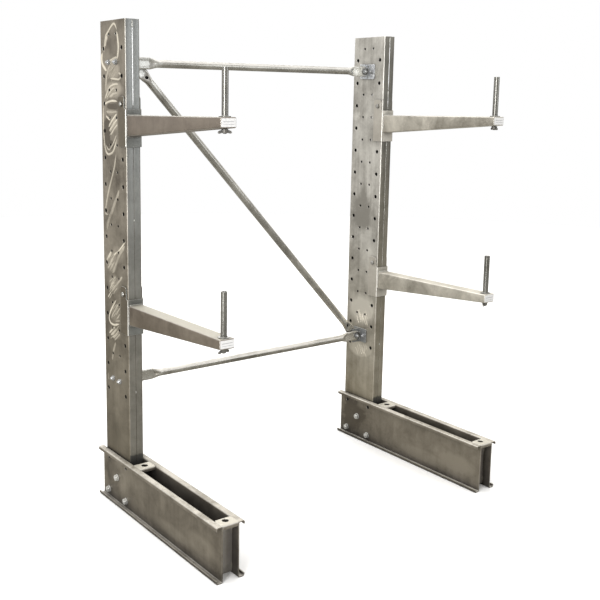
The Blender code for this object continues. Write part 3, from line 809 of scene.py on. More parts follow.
LOOKS = {
    "left_column_zinc": dict(
        tones=((104, 97, 86), (184, 176, 162)), front=LIT_FRONT,
        low_tint=((96, 89, 75), (146, 138, 122)), zones=SWIRLS, bend=0.3, bend_fade=(0.9, 1.7),
        bend_from=0.86, edge=0.0, foot=FOOT_REFLECTION_TOP, hollow=COLUMN_INSIDE,
    ),
    "right_column_zinc": dict(
        tones=((158, 155, 148), (240, 238, 231)), front=((86, 85, 79), (136, 133, 125)),
        low_tint=((140, 132, 114), (190, 182, 164)), zones=PATCHES, streak=0.9, bend=0.25,
        bend_fade=(0.9, 1.7), bend_from=0.86, edge=0.0, foot=FOOT_REFLECTION_TOP, hollow=COLUMN_INSIDE,
    ),
    "zinc_runs": dict(
        tones=((108, 101, 90), (186, 178, 164)), low_tint=((104, 97, 82), (158, 150, 134)),
        rough=0.34, edge=0.0, crest=True,
    ),
    "right_zinc_runs": dict(
        tones=((158, 155, 148), (240, 238, 231)), low_tint=((140, 132, 114), (196, 188, 170)),
        zones=PATCHES, rough=0.34, edge=0.0, crest=True,
    ),
    "base_zinc": dict(
        tones=((106, 99, 88), (170, 162, 148)), zones=BASE_WEB_ZONES, streak=0.45, bend=0.4, edge=0.4,
        top_light_dark=(152, 147, 135), top_light_tone=(204, 199, 188), reach=0.1, crevice_shade=0.7,
        crevice_shade_tone=(56, 56, 60),
    ),
    "web_zinc": dict(tones=((176, 172, 168), (220, 216, 212)), streak=0.4, crevice_shade=0.3),
    "spacer_zinc": dict(
        tones=((150, 146, 136), (196, 191, 180)), front=LIP, streak=0.3, bend=0.3, crevice_shade=0.2,
    ),
    "left_arm_zinc": dict(
        tones=((96, 86, 78), (156, 146, 134)), low_tint=((118, 106, 88), (180, 170, 150)),
        streak=0.2, bend=0.4, top_light=0.9, top_light_tone=(180, 176, 163),
    ),
    "right_arm_zinc": dict(
        tones=((150, 145, 134), (246, 241, 229)), zones=DULLED, streak=0.2, bend=0.4, top_light=0.6,
    ),
    "left_saddle_zinc": dict(
        tones=((100, 93, 81), (144, 135, 119)), front=((118, 119, 116), (158, 160, 157)),
        streak=0.3, bend=0.7, edge=0.8,
    ),
    "right_saddle_zinc": dict(
        tones=((180, 175, 165), (226, 222, 213)), streak=0.3, bend=0.6, edge=0.6,
    ),
    "brace_zinc": dict(
        tones=((120, 118, 112), (200, 198, 191)), rough=0.28, streak=0.0, front=SILVER,
        front_beyond=0.455, front_low=0.35, top_light_metal=0.7,
        low_tint=((140, 134, 122), (206, 199, 184)), top_light=0.55, top_light_from=0.25,
        top_light_tone=(250, 248, 243), edge=0.0, bump=0.0, vent_shades=vent_spots(),
    ),
    "bracket_zinc": dict(
        tones=((186, 189, 192), (240, 242, 246)), low_tint=DARK, rough=0.3, metal=0.5, streak=0.2,
        bump=0.1, crevice_shade=0.3,
    ),
    "pin_zinc": dict(
        tones=((106, 105, 100), (152, 151, 146)), rough=0.27, streak=0.2, top_light=0.2, edge=0.0,
        bump=0.0,
    ),
    "nut_zinc": dict(tones=((110, 108, 104), (160, 158, 154)), rough=0.36, streak=0.1, top_light=0.3),
    "bright_zinc": dict(
        tones=((206, 206, 202), (246, 246, 242)), rough=0.26, streak=0.1, metal=0.5, top_light=0.0,
        edge=0.0, bump=0.0, crevice_shade=0.5,
    ),
    "bolt_zinc": dict(
        tones=((170, 172, 174), (230, 232, 234)), rough=0.24, metal=0.6, streak=0.1, top_light=0.0,
        edge=0.0, crevice_shade=0.6,
    ),
    "lock_pin_zinc": dict(
        tones=((150, 149, 144), (206, 205, 201)), rough=0.32, streak=0.1, top_light=0.2, edge=0.0,
        bump=0.0,
    ),
    "weld_zinc": dict(
        tones=((176, 175, 169), (232, 231, 226)), rough=0.34, streak=0.1, top_light=0.2, edge=0.0,
    ),
    # Painted highlight: near-white zinc on the beads in the column slots
    "highlight_bead_zinc": dict(
        tones=((222, 224, 226), (252, 252, 253)), rough=0.3, metal=0.3, streak=0.0, edge=0.0,
        bump=0.0, crevice_shade=0.0,
    ),
}

MATERIALS = {name: zinc(name, **look) for name, look in LOOKS.items()}
MATERIALS["blank_label"] = paper("blank_label")


# ---------------------------------------------------------------- uprights


def column_places(side):
    """The lowest and highest corner of a column's two halves together."""
    outer, inner = f"{side}_column_outer_half", f"{side}_column_inner_half"
    lo = Vector(map(min, low(outer), low(inner)))
    hi = Vector(map(max, high(outer), high(inner)))
    return lo, hi


def hole_rows(side):
    """Heights of the outer and of the inner hole rows, from the arms' lock pins."""
    upper = JOINTS[f"{side}_upper_arm_lift"]["pos_m"][Z]
    lower = JOINTS[f"{side}_lower_arm_lift"]["pos_m"][Z]
    pitch = (upper - lower) / ROWS_BETWEEN_ARMS
    first = upper + UPPER_ARM_ROW * pitch
    outer = [first - pitch * row for row in range(HOLE_ROWS)]
    return outer, [z + pitch / 2 for z in outer]


def web_holes(side, columns=True):
    """Hole centres, as ((y, z) list, radius) pairs, in the webs of a column or of a base."""
    lo, hi = column_places(side)
    near, far = lo.y + OUTER_HOLE_EDGE, hi.y - OUTER_HOLE_EDGE
    centre = (lo.y + hi.y) / 2
    bolts = [f"{side}_base_bolt_{spot}" for spot in ("centre", "low_front", "low_rear")]
    spots = [tuple(middle(bolt))[1:] for bolt in bolts]
    base_top = high(f"{side}_base_outer_channel").z
    spots += [(y, base_top - BASE_HOLE_DROP) for y in (near, far)]
    if not columns:
        return [(spots, OUTER_HOLE)]
    outer, inner = hole_rows(side)
    return [
        ([(y, z) for y in (near, far) for z in outer], OUTER_HOLE),
        ([(centre + o, z) for o in (-INNER_HOLE_OFFSET, INNER_HOLE_OFFSET) for z in inner], INNER_HOLE),
        (spots, OUTER_HOLE),
    ]


def make_column_half(side, word, hand):
    """One lipped channel of a column, with its punched web."""
    lo, hi = column_places(side)
    node = f"{side}_column_{word}_half"
    middle_x = (lo.x + hi.x) / 2
    half_width = (hi.x - lo.x) / 2
    web = middle_x + hand * (half_width - SHEET / 2)
    toe = middle_x + hand * (COLUMN_SLOT / 2 + SHEET / 2)
    near, far = lo.y + SHEET / 2, hi.y - SHEET / 2
    path = [(toe, lo.y + COLUMN_LIP), (toe, near), (web, near), (web, far), (toe, far)]
    path.append((toe, hi.y - COLUMN_LIP))
    shape = folded(path, Z, low(node).z, high(node).z)
    half = fine(node, shape, f"{side}_column_zinc")
    faces = (middle_x + hand * half_width, middle_x + hand * (half_width - SHEET))
    cutters = [holes(X, centres, radius, *faces) for centres, radius in web_holes(side)]
    carve(half, [joined(cutters)])
    stand_for(half, node)


def make_column_lips(side):
    """The zinc that fills the toes' bends flush, up to the narrow slot between the two halves."""
    lo, hi = column_places(side)
    x = (lo.x + hi.x) / 2
    shapes = []
    for y, way in ((lo.y, 1), (hi.y, -1)):
        for hand in (-1, 1):
            rings = []
            for z in (lo.z, hi.z):
                rings.append([Vector((x + hand * a, y + way * b, z)) for a, b in LIP_SECTION])
            shapes.append(loft(rings))
    look = f"{side}_column_zinc"
    add_trim(f"{side}_column_lip_zinc", shapes, look, "frame", angle=32)
    # The beads stand for the highlight along the slot; their near-white zinc is a painted highlight
    beads = []
    for top, bottom in HIGHLIGHT_BEADS[side]:
        line = [(x, lo.y + BEAD_SINK, z) for z in (top, (top + bottom) / 2, bottom)]
        beads.append(weld(line, BEAD_RADIUS, seed=len(beads), ripple=0.02, step=0.016))
    add_trim(f"{side}_column_beads", beads, "highlight_bead_zinc", "frame")


def make_column_welds(side):
    """Short stitch welds that close the slots between the two halves."""
    lo, hi = column_places(side)
    x = (lo.x + hi.x) / 2
    shapes = []
    stitches = [tuple(hi.z - drop for drop in TOP_STITCH), *STITCHES[side]]
    for y, way in ((lo.y, 1), (hi.y, -1)):
        for number, (top, bottom) in enumerate(stitches):
            line = [(x, y + way * STITCH_SINK, z) for z in (top, (top + bottom) / 2, bottom)]
            shapes.append(weld(line, STITCH_RADIUS, seed=number, step=0.002))
    add_trim(f"{side}_column_stitch_welds", shapes, "weld_zinc", "frame")


def make_base_channel(side, word, hand):
    """One lipped channel of a base, with its bolt holes."""
    node = f"{side}_base_{word}_channel"
    lo, hi = low(node), high(node)
    web_face = hi.x if hand < 0 else lo.x
    tip_face = lo.x if hand < 0 else hi.x
    web, tip = web_face + hand * SHEET / 2, tip_face - hand * SHEET / 2
    bottom, top = lo.z + SHEET / 2, hi.z - SHEET / 2
    path = [(tip, top - BASE_LIP), (tip, top), (web, top), (web, bottom), (tip, bottom)]
    path.append((tip, bottom + BASE_LIP))
    channel = fine(node, folded(path, Y, lo.y, hi.y), "base_zinc")
    faces = (web_face + hand * SHEET, web_face)
    cutters = [holes(X, centres, radius, *faces) for centres, radius in web_holes(side, False)]
    carve(channel, cutters)
    stand_for(channel, node)


def make_base_plates(side):
    """The folded plates between the webs, the recessed front web and the welds that hold them."""
    shapes = []
    lo, hi = column_places(side)
    x = (lo.x + hi.x) / 2
    for word in ("front_cap", "rear_spacer"):
        node = f"{side}_base_{word}"
        a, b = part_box(node)
        top = b.z - SHEET / 2
        if word == "front_cap":
            front = a.y + SHEET / 2
            path = [(b.y, top), (front, top), (front, a.z)]
            hole_y, radius = a.y + CAP_HOLE_SETBACK, CAP_HOLE
        else:
            path = [(b.y - SHEET / 2, a.z), (b.y - SHEET / 2, top)]
            path += [(a.y + SHEET / 2, top), (a.y + SHEET / 2, a.z)]
            hole_y, radius = (a.y + b.y) / 2, SPACER_HOLE
        plate = fine(node, folded(path, X, a.x, b.x), "spacer_zinc")
        carve(plate, [holes(Z, [(x, hole_y)], radius, b.z, b.z - SHEET, sides=36)])
        stand_for(plate, node)
        for edge in (a.x, b.x):
            seam = edge + (SEAM_INSET if edge > x else -SEAM_INSET)
            places = (a.y + SEAM_END, (a.y + b.y) / 2, b.y - SEAM_END)
            line = [(seam, y, b.z - SEAM_SINK) for y in places]
            shapes.append(weld(line, SEAM_RADIUS, seed=len(shapes), ripple=0.03))
    node = f"{side}_base_front_web"
    a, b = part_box(node)
    outline = box_outline(a.x, b.x, a.z, b.z, 0.0006, 1)
    web = fine(node, slab(outline, Y, a.y, b.y), "web_zinc")
    stand_for(web, node)
    for edge in (a.x, b.x):
        inward = WEB_WELD_INSET if edge == a.x else -WEB_WELD_INSET
        for start, end in WEB_WELDS:
            line = [(edge + inward, a.y, z) for z in (start, (start + end) / 2, end)]
            shapes.append(weld(line, WEB_WELD_RADIUS, seed=len(shapes), ripple=0.05))
    add_trim(f"{side}_base_welds", shapes, "spacer_zinc", "frame")


def hexagon(flat, cap, sides=48):
    """A hexagon's outline with its corners cut back to the cap radius."""
    outline = []
    for i in range(sides):
        turn = 2 * math.pi * i / sides
        off = (turn + math.pi / 6) % (math.pi / 3) - math.pi / 6
        radius = min(flat / math.cos(off), cap)
        outline.append((radius * math.cos(turn), radius * math.sin(turn)))
    return outline


def hex_body(axis, centre, start, end, flat, bore_cap=1.03):
    """A hexagonal head or nut from start to end on axis, its corners chamfered."""
    a0, b0 = [centre[i] for i in range(3) if i != axis]
    height = end - start
    corner = flat / math.cos(math.pi / 6)
    steps = [
        (start, hexagon(flat, flat * bore_cap)),
        (start + height * 0.14, hexagon(flat, corner)),
        (end - height * 0.14, hexagon(flat, corner)),
        (end, hexagon(flat, flat * bore_cap)),
    ]
    return loft([[put(axis, along, a0 + a, b0 + b) for a, b in ring] for along, ring in steps])


def thread(start, end, radius, pitch=0.0015):
    """Lathe steps of a threaded length, with a chamfered end at start."""
    count = max(2, int(abs(end - start) / pitch))
    way = math.copysign(1, end - start)
    profile = [(start, radius * 0.78), (start + way * pitch * 0.5, radius * 0.98)]
    for i in range(1, count):
        along = start + (end - start) * i / count
        profile.append((along, radius * 0.88))
        profile.append((along + way * pitch * 0.5, radius))
    profile.append((end, radius))
    return profile


def make_bolt(node, axis):
    """A hexagon bolt with its washers, nut and threaded end, the nut at the low end of axis."""
    lo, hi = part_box(node)
    centre = (lo + hi) / 2
    flat = (hi.z - lo.z) / 2
    sort = LARGE_BOLT if flat > LARGE_FLAT else SMALL_BOLT
    foot = lo[axis] + sort["end"]
    seat = foot + sort["nut"]
    under = hi[axis] - sort["head"]
    corner = flat / math.cos(math.pi / 6)
    shapes = [
        hex_body(axis, centre, foot, seat - WASHER, flat),
        hex_body(axis, centre, under + WASHER, hi[axis], flat),
    ]
    for start in (seat - WASHER, under):
        steps = ((0, 1.02), (0.25, 1.08), (0.75, 1.08), (1, 1.02))
        ring = [(start + WASHER * share - centre[axis], corner * size) for share, size in steps]
        shapes.append(lathe(ring, axis, centre, 32))
    tail = thread(lo[axis] - centre[axis], seat - 0.002 - centre[axis], sort["shank"])
    tail.append((under + 0.001 - centre[axis], sort["shank"]))
    shapes.append(lathe(tail, axis, centre, 24))
    bolt = fine(node, joined(shapes), sort["look"])
    stand_for(bolt, node)


def make_bracket(side, level):
    """The bolted plate, its tab for the braces, and the fillet welds between them."""
    node = f"{side}_{level}_bracket"
    lo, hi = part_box(node)
    hand = -SIDES[side]
    wall = lo.x if hand > 0 else hi.x
    face = wall + hand * BRACKET_PLATE
    end = hi.x if hand > 0 else lo.x
    y, z = (lo.y + hi.y) / 2, (lo.z + hi.z) / 2
    outline = box_outline(lo.y, hi.y, lo.z, hi.z, 0.004)
    plate = fine(node, slab(outline, X, wall, face), "bracket_zinc")
    half = BRACKET_PLATE / 2
    root = wall + hand * BRACKET_PLATE / 2
    corners = [(root, lo.z, 0), (end, lo.z, BRACKET_CORNER), (end, hi.z, BRACKET_CORNER), (root, hi.z, 0)]
    tab = slab(rounded(corners), Y, y - half, y + half)
    carve(plate, [tab], "UNION")
    bolts = [f"{node}_bolt_{word}" for word in ("front", "rear")]
    pair = [tuple(middle(bolt))[1:] for bolt in bolts]
    brace_bolt = middle(f"{side}_{level}_brace_bolt")
    single = holes(Y, [(brace_bolt.x, brace_bolt.z)], INNER_HOLE, y - half, y + half)
    carve(plate, [holes(X, pair, INNER_HOLE, face, wall), single])
    stand_for(plate, node)
    shapes = []
    for way in (-1, 1):
        line = [(face, y + way * half, z + share * (hi.z - lo.z) * 0.42) for share in (-1, 0, 1)]
        shapes.append(weld(line, BRACKET_WELD, seed=way + 5))
    add_trim(f"{node}_welds", shapes, "weld_zinc", "frame")


# ---------------------------------------------------------------- braces


def tube_ring(opening, sides=56):
    """A pressed tube's outline as (through, up): 0 pressed flat with fuller rims, 1 round."""
    ring = []
    for i in range(sides):
        turn = 2 * math.pi * (i + 0.5) / sides
        a, b = math.cos(turn), math.sin(turn)
        up = math.copysign(abs(b) ** 0.6, b) * BRACE_FLAT_HEIGHT / 2
        rim = math.exp(-(((abs(up) - BRACE_RIM[0]) / BRACE_RIM[1]) ** 2))
        through = math.copysign(abs(a) ** 0.3, a) * BRACE_FLAT_THICKNESS / 2 * (0.7 + 0.5 * rim)
        crease = BRACE_PINCH[0] * math.exp(-((up / BRACE_PINCH[1]) ** 2))
        pinch = crease * 4 * opening * (1 - opening)
        through += (a * BRACE_RADIUS - through) * opening - math.copysign(pinch, a) * abs(a)
        ring.append((through, up + (b * BRACE_RADIUS - up) * opening))
    return ring


def make_brace(node, first, last):
    """A tube with pressed ends between two bolts."""
    lo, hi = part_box(node)
    y = (lo.y + hi.y) / 2
    along = (last - first).normalized()
    up = Vector((-along.z, 0, along.x))
    length = (last - first).length
    side_rings = []
    for share in (0.0, 0.25, 0.5, 0.75, 1.0):
        turn = share * math.pi / 2
        side_rings.append((-BRACE_END * math.cos(turn * 0.999), 0.0, 0.5 + 0.5 * math.sin(turn)))
    steps = [(BRACE_FLAT + BRACE_TAPER * i / 14, i / 14) for i in range(15)]
    side_rings += [(place, t * t * (3 - 2 * t), 1.0) for place, t in steps]
    mirrored = [(length - place, opening, tall) for place, opening, tall in side_rings[::-1]]
    rings = []
    for place, opening, tall in side_rings + mirrored:
        centre = first + along * place + Vector((0, y, 0))
        ring = tube_ring(opening)
        rings.append([centre + Vector((0, a, 0)) + up * b * tall for a, b in ring])
    brace = fine(node, loft(rings), "brace_zinc", angle=40)
    front = y - BRACE_RADIUS
    cutters = []
    for x, z in vent_spots() if node == "diagonal_brace" else []:
        profile = [(front - 0.002 - y, VENT_RADIUS), (front + VENT_DEPTH - y, VENT_RADIUS)]
        cutters.append(lathe(profile, Y, Vector((x, y, z)), 24))
    for spot in (first, last):
        profile = [(-BRACE_FLAT_THICKNESS, INNER_HOLE), (BRACE_FLAT_THICKNESS, INNER_HOLE)]
        cutters.append(lathe(profile, Y, Vector((spot.x, y, spot.z)), 24))
    carve(brace, [joined(cutters)], angle=40)
    stand_for(brace, node)


# ---------------------------------------------------------------- arms


def make_saddle(arm, pivot, kind):
    """A sheet folded round the column, cut to its ears, with the lock pin's holes."""
    node = f"{arm}_arm_saddle"
    lo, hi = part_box(node)
    wall = (hi.x - lo.x) / 2 - SHEET / 2
    rear, fold = hi.y, lo.y + SHEET / 2
    left, right = pivot.x - wall, pivot.x + wall
    path = [(left, rear), (left, fold), (right, fold), (right, rear)]
    saddle = fine(node, folded(path, Z, lo.z, hi.z), f"{kind}_saddle_zinc")
    face = lo.y + 2 * SHEET
    front = lo.y - SHEET
    ear = face + EAR_SETBACK
    top = pivot.z + SADDLE_TOP
    side_view = rounded(
        [
            (front, lo.z - SHEET, 0),
            (rear + SHEET, lo.z - SHEET, 0),
            (rear + SHEET, lo.z, 0),
            (rear, lo.z, 0),
            (rear, hi.z, EAR_CORNER),
            (ear, hi.z, EAR_CORNER),
            (ear, top, EAR_FILLET),
            (front, top, 0),
        ],
        steps=8,
    )
    profile = loft([[Vector((x, y, z)) for y, z in side_view] for x in (lo.x - SHEET, hi.x + SHEET)])
    carve(saddle, [profile], "INTERSECT")
    cutters = []
    for outside, inside in ((lo.x, lo.x + SHEET), (hi.x, hi.x - SHEET)):
        cutters.append(holes(X, [(pivot.y, pivot.z)], LOCK_PIN_HOLE, outside, inside, 32))
    carve(saddle, [joined(cutters)])
    stand_for(saddle, node)


def make_beam(arm, pivot, kind):
    """The tapered box of an arm, its weld to the saddle, and the blank label on its tip."""
    node = f"{arm}_arm_beam"
    lo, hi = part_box(node)
    tip, root = lo.y, hi.y
    half = ARM_WIDTH / 2
    steps = 12
    places = [(root, 0.0, BEAM_CHAMFER), (root - BEAM_CHAMFER, 0.0, 0.0)]
    places += [(root + (tip - root) * (i / steps), i / steps, 0.0) for i in range(1, steps)]
    places += [(tip + BEAM_CHAMFER, 1.0, 0.0), (tip, 1.0, BEAM_CHAMFER)]
    rings = []
    for y, share, inset in places:
        top = pivot.z + ARM_ROOT_TOP + (ARM_TIP_TOP - ARM_ROOT_TOP) * share - inset
        bottom = lo.z + (pivot.z + ARM_TIP_BOTTOM - lo.z) * share + inset
        left, right = pivot.x - half + inset, pivot.x + half - inset
        outline = box_outline(left, right, bottom, top, ARM_CORNER, 5)
        rings.append([Vector((x, y, z)) for x, z in outline])
    beam = fine(node, loft(rings), f"{kind}_arm_zinc")
    stand_for(beam, node)
    top, bottom = pivot.z + ARM_ROOT_TOP, lo.z
    inner = half - ARM_CORNER * 0.4
    y = root - 0.0002
    left, right = pivot.x - inner, pivot.x + inner
    shapes = [
        weld([(left, y, top), (pivot.x, y, top + 0.0004), (right, y, top)], ROOT_WELD, 1),
        weld([(left, y, bottom), (pivot.x, y, bottom - 0.0004), (right, y, bottom)], ROOT_WELD, 2),
    ]
    for x, seed in ((pivot.x - half, 3), (pivot.x + half, 4)):
        line = [(x, y, bottom + 0.003), (x, y, (top + bottom) / 2), (x, y, top - 0.003)]
        shapes.append(weld(line, ROOT_WELD, seed))
    add_trim(f"{arm}_arm_root_weld", shapes, f"{kind}_saddle_zinc", f"{arm}_arm")
    centre = pivot.z + (ARM_TIP_TOP + ARM_TIP_BOTTOM) / 2
    left, right = pivot.x - LABEL_WIDTH / 2, pivot.x + LABEL_WIDTH / 2
    bottom, top = centre - LABEL_HEIGHT / 2, centre + LABEL_HEIGHT / 2
    outline = box_outline(left, right, bottom, top, LABEL_CORNER)
    label = slab(outline, Y, tip, tip - LABEL_THICKNESS, chamfer=0.0001)
    on_body(piece_of(f"{arm}_arm_label", label, MATERIALS["blank_label"]), f"{arm}_arm")


def make_stop_pin(arm):
    """A pipe with a collar and a threaded stud, which stands on the arm's tip."""
    node = f"{arm}_stop_pin"
    lo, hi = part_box(node)
    centre = (lo + hi) / 2
    beam_lo, beam_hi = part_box(f"{arm}_arm_beam")
    slope = (ARM_TIP_TOP - ARM_ROOT_TOP) / (beam_hi.y - beam_lo.y)
    seat = beam_hi.z - slope * STOP_PIN_SETBACK
    collar = (hi.x - lo.x) / 2
    chamfer = STOP_PIN_CHAMFER
    top = seat + COLLAR_THICKNESS
    steps = thread(lo.z, seat - STUD_RUNOUT, STUD_RADIUS)
    steps += [
        (seat - 0.0001, STUD_RADIUS),
        (seat - 0.0001, collar - chamfer),
        (seat + chamfer, collar),
        (top - chamfer, collar),
        (top, collar - chamfer),
        (top, STOP_PIN_RADIUS + COLLAR_FILLET),
        (top + COLLAR_FILLET, STOP_PIN_RADIUS),
        (hi.z - chamfer, STOP_PIN_RADIUS),
        (hi.z, STOP_PIN_RADIUS - chamfer),
        (hi.z, STOP_PIN_BORE + 0.0003),
        (hi.z - chamfer, STOP_PIN_BORE),
        (seat + STOP_PIN_BORE_END, STOP_PIN_BORE),
    ]
    profile = [(z - centre.z, radius) for z, radius in steps]
    pin = fine(node, lathe(profile, Z, centre, 48), "pin_zinc")
    stand_for(pin, node)


def make_wing_nut(arm):
    node = f"{arm}_wing_nut"
    x, y, _ = JOINTS[f"{arm}_nut_turn"]["pos_m"]
    centre = Vector((x, y, high(node).z))
    depth = WING_NUT_DEPTH
    radius = WING_NUT_RADIUS
    steps = [
        (-depth, radius * 0.68),
        (-depth + 0.001, radius * 0.8),
        (-0.002, radius * 0.98),
        (-0.0008, radius),
        (0, radius * 0.92),
    ]
    nut = fine(node, lathe(steps, Z, Vector(), 40), "nut_zinc")
    span = WING_SPAN / 2
    right_wing = [
        (radius * 0.6, -depth * 0.85, 0),
        (span * 0.75, -0.0145, 0.003),
        (span, -0.0125, 0.003),
        (span * 0.85, -0.006, 0.0025),
        (radius * 0.7, -0.002, 0),
    ]
    outline = [(-a, b, r) for a, b, r in right_wing[::-1]] + right_wing
    wings = slab(rounded(outline), Y, -WING_THICKNESS / 2, WING_THICKNESS / 2, 0.0007)
    carve(nut, [wings], "UNION")
    bore = STUD_RADIUS + 0.0005
    carve(nut, [lathe([(-0.03, bore), (0.03, bore)], Z, Vector(), 32)])
    turn = Matrix.Rotation(math.radians(WING_NUT_TURNS[arm]), 4, "Z")
    nut.data.transform(Matrix.Translation(centre) @ turn)
    stand_for(nut, node)


def make_lock_pin(arm):
    node = f"{arm}_lock_pin"
    lo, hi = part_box(node)
    centre = (lo + hi) / 2
    head = (hi.z - lo.z) / 2
    shank = head * LOCK_PIN_SHANK
    under = lo.x + LOCK_PIN_HEAD
    steps = [
        (lo.x, head * 0.62),
        (lo.x + 0.0006, head * 0.86),
        (lo.x + 0.0022, head),
        (lo.x + 0.0054, head),
        (under, head * 0.95),
        (under, shank),
        (hi.x - LOCK_PIN_POINT, shank),
        (hi.x, shank * 0.7),
    ]
    profile = [(x - centre.x, radius) for x, radius in steps]
    pin = fine(node, lathe(profile, X, centre, 40), "lock_pin_zinc")
    stand_for(pin, node)


# ---------------------------------------------------------------- zinc runs


def run_on_web(face_x, front, path, width, pale, step=0.003):
    """A low rounded run of zinc on a web that faces -X; path is (depth, z) pairs."""
    line = resampled([(0, front + depth, z) for depth, z in path], step)
    height = 0.0005 + 0.0006 * pale
    across_steps = [-1, -0.8, -0.5, -0.2, 0, 0.2, 0.5, 0.8, 1]
    rings, crests = [], []
    for i, here in enumerate(line):
        ahead = (line[min(i + 1, len(line) - 1)] - line[max(i - 1, 0)]).normalized()
        across = Vector((0, -ahead.z, ahead.y))
        share = i / (len(line) - 1)
        taper = max(0.12, min(1.0, 7 * share, 7 * (1 - share)))
        ring, crest = [], []
        for t in across_steps:
            rise = height * taper * (1 - t * t) - 0.0002
            point = here + across * t * width / 2 * taper
            ring.append(Vector((face_x - rise, point.y, point.z)))
            crest.append(pale * min(1.0, 2 * taper) * min(1.0, 1.7 * (1 - abs(t))))
        for t in across_steps[::-1]:
            point = here + across * t * width / 2 * taper
            ring.append(Vector((face_x + 0.0010, point.y, point.z)))
            crest.append(0.0)
        rings.append(ring)
        crests.append(crest)
    shape = loft(rings)
    layer = shape.verts.layers.float.new("crest")
    shape.verts.ensure_lookup_table()
    for vert, value in zip(shape.verts, [value for crest in crests for value in crest]):
        vert[layer] = value
    return shape


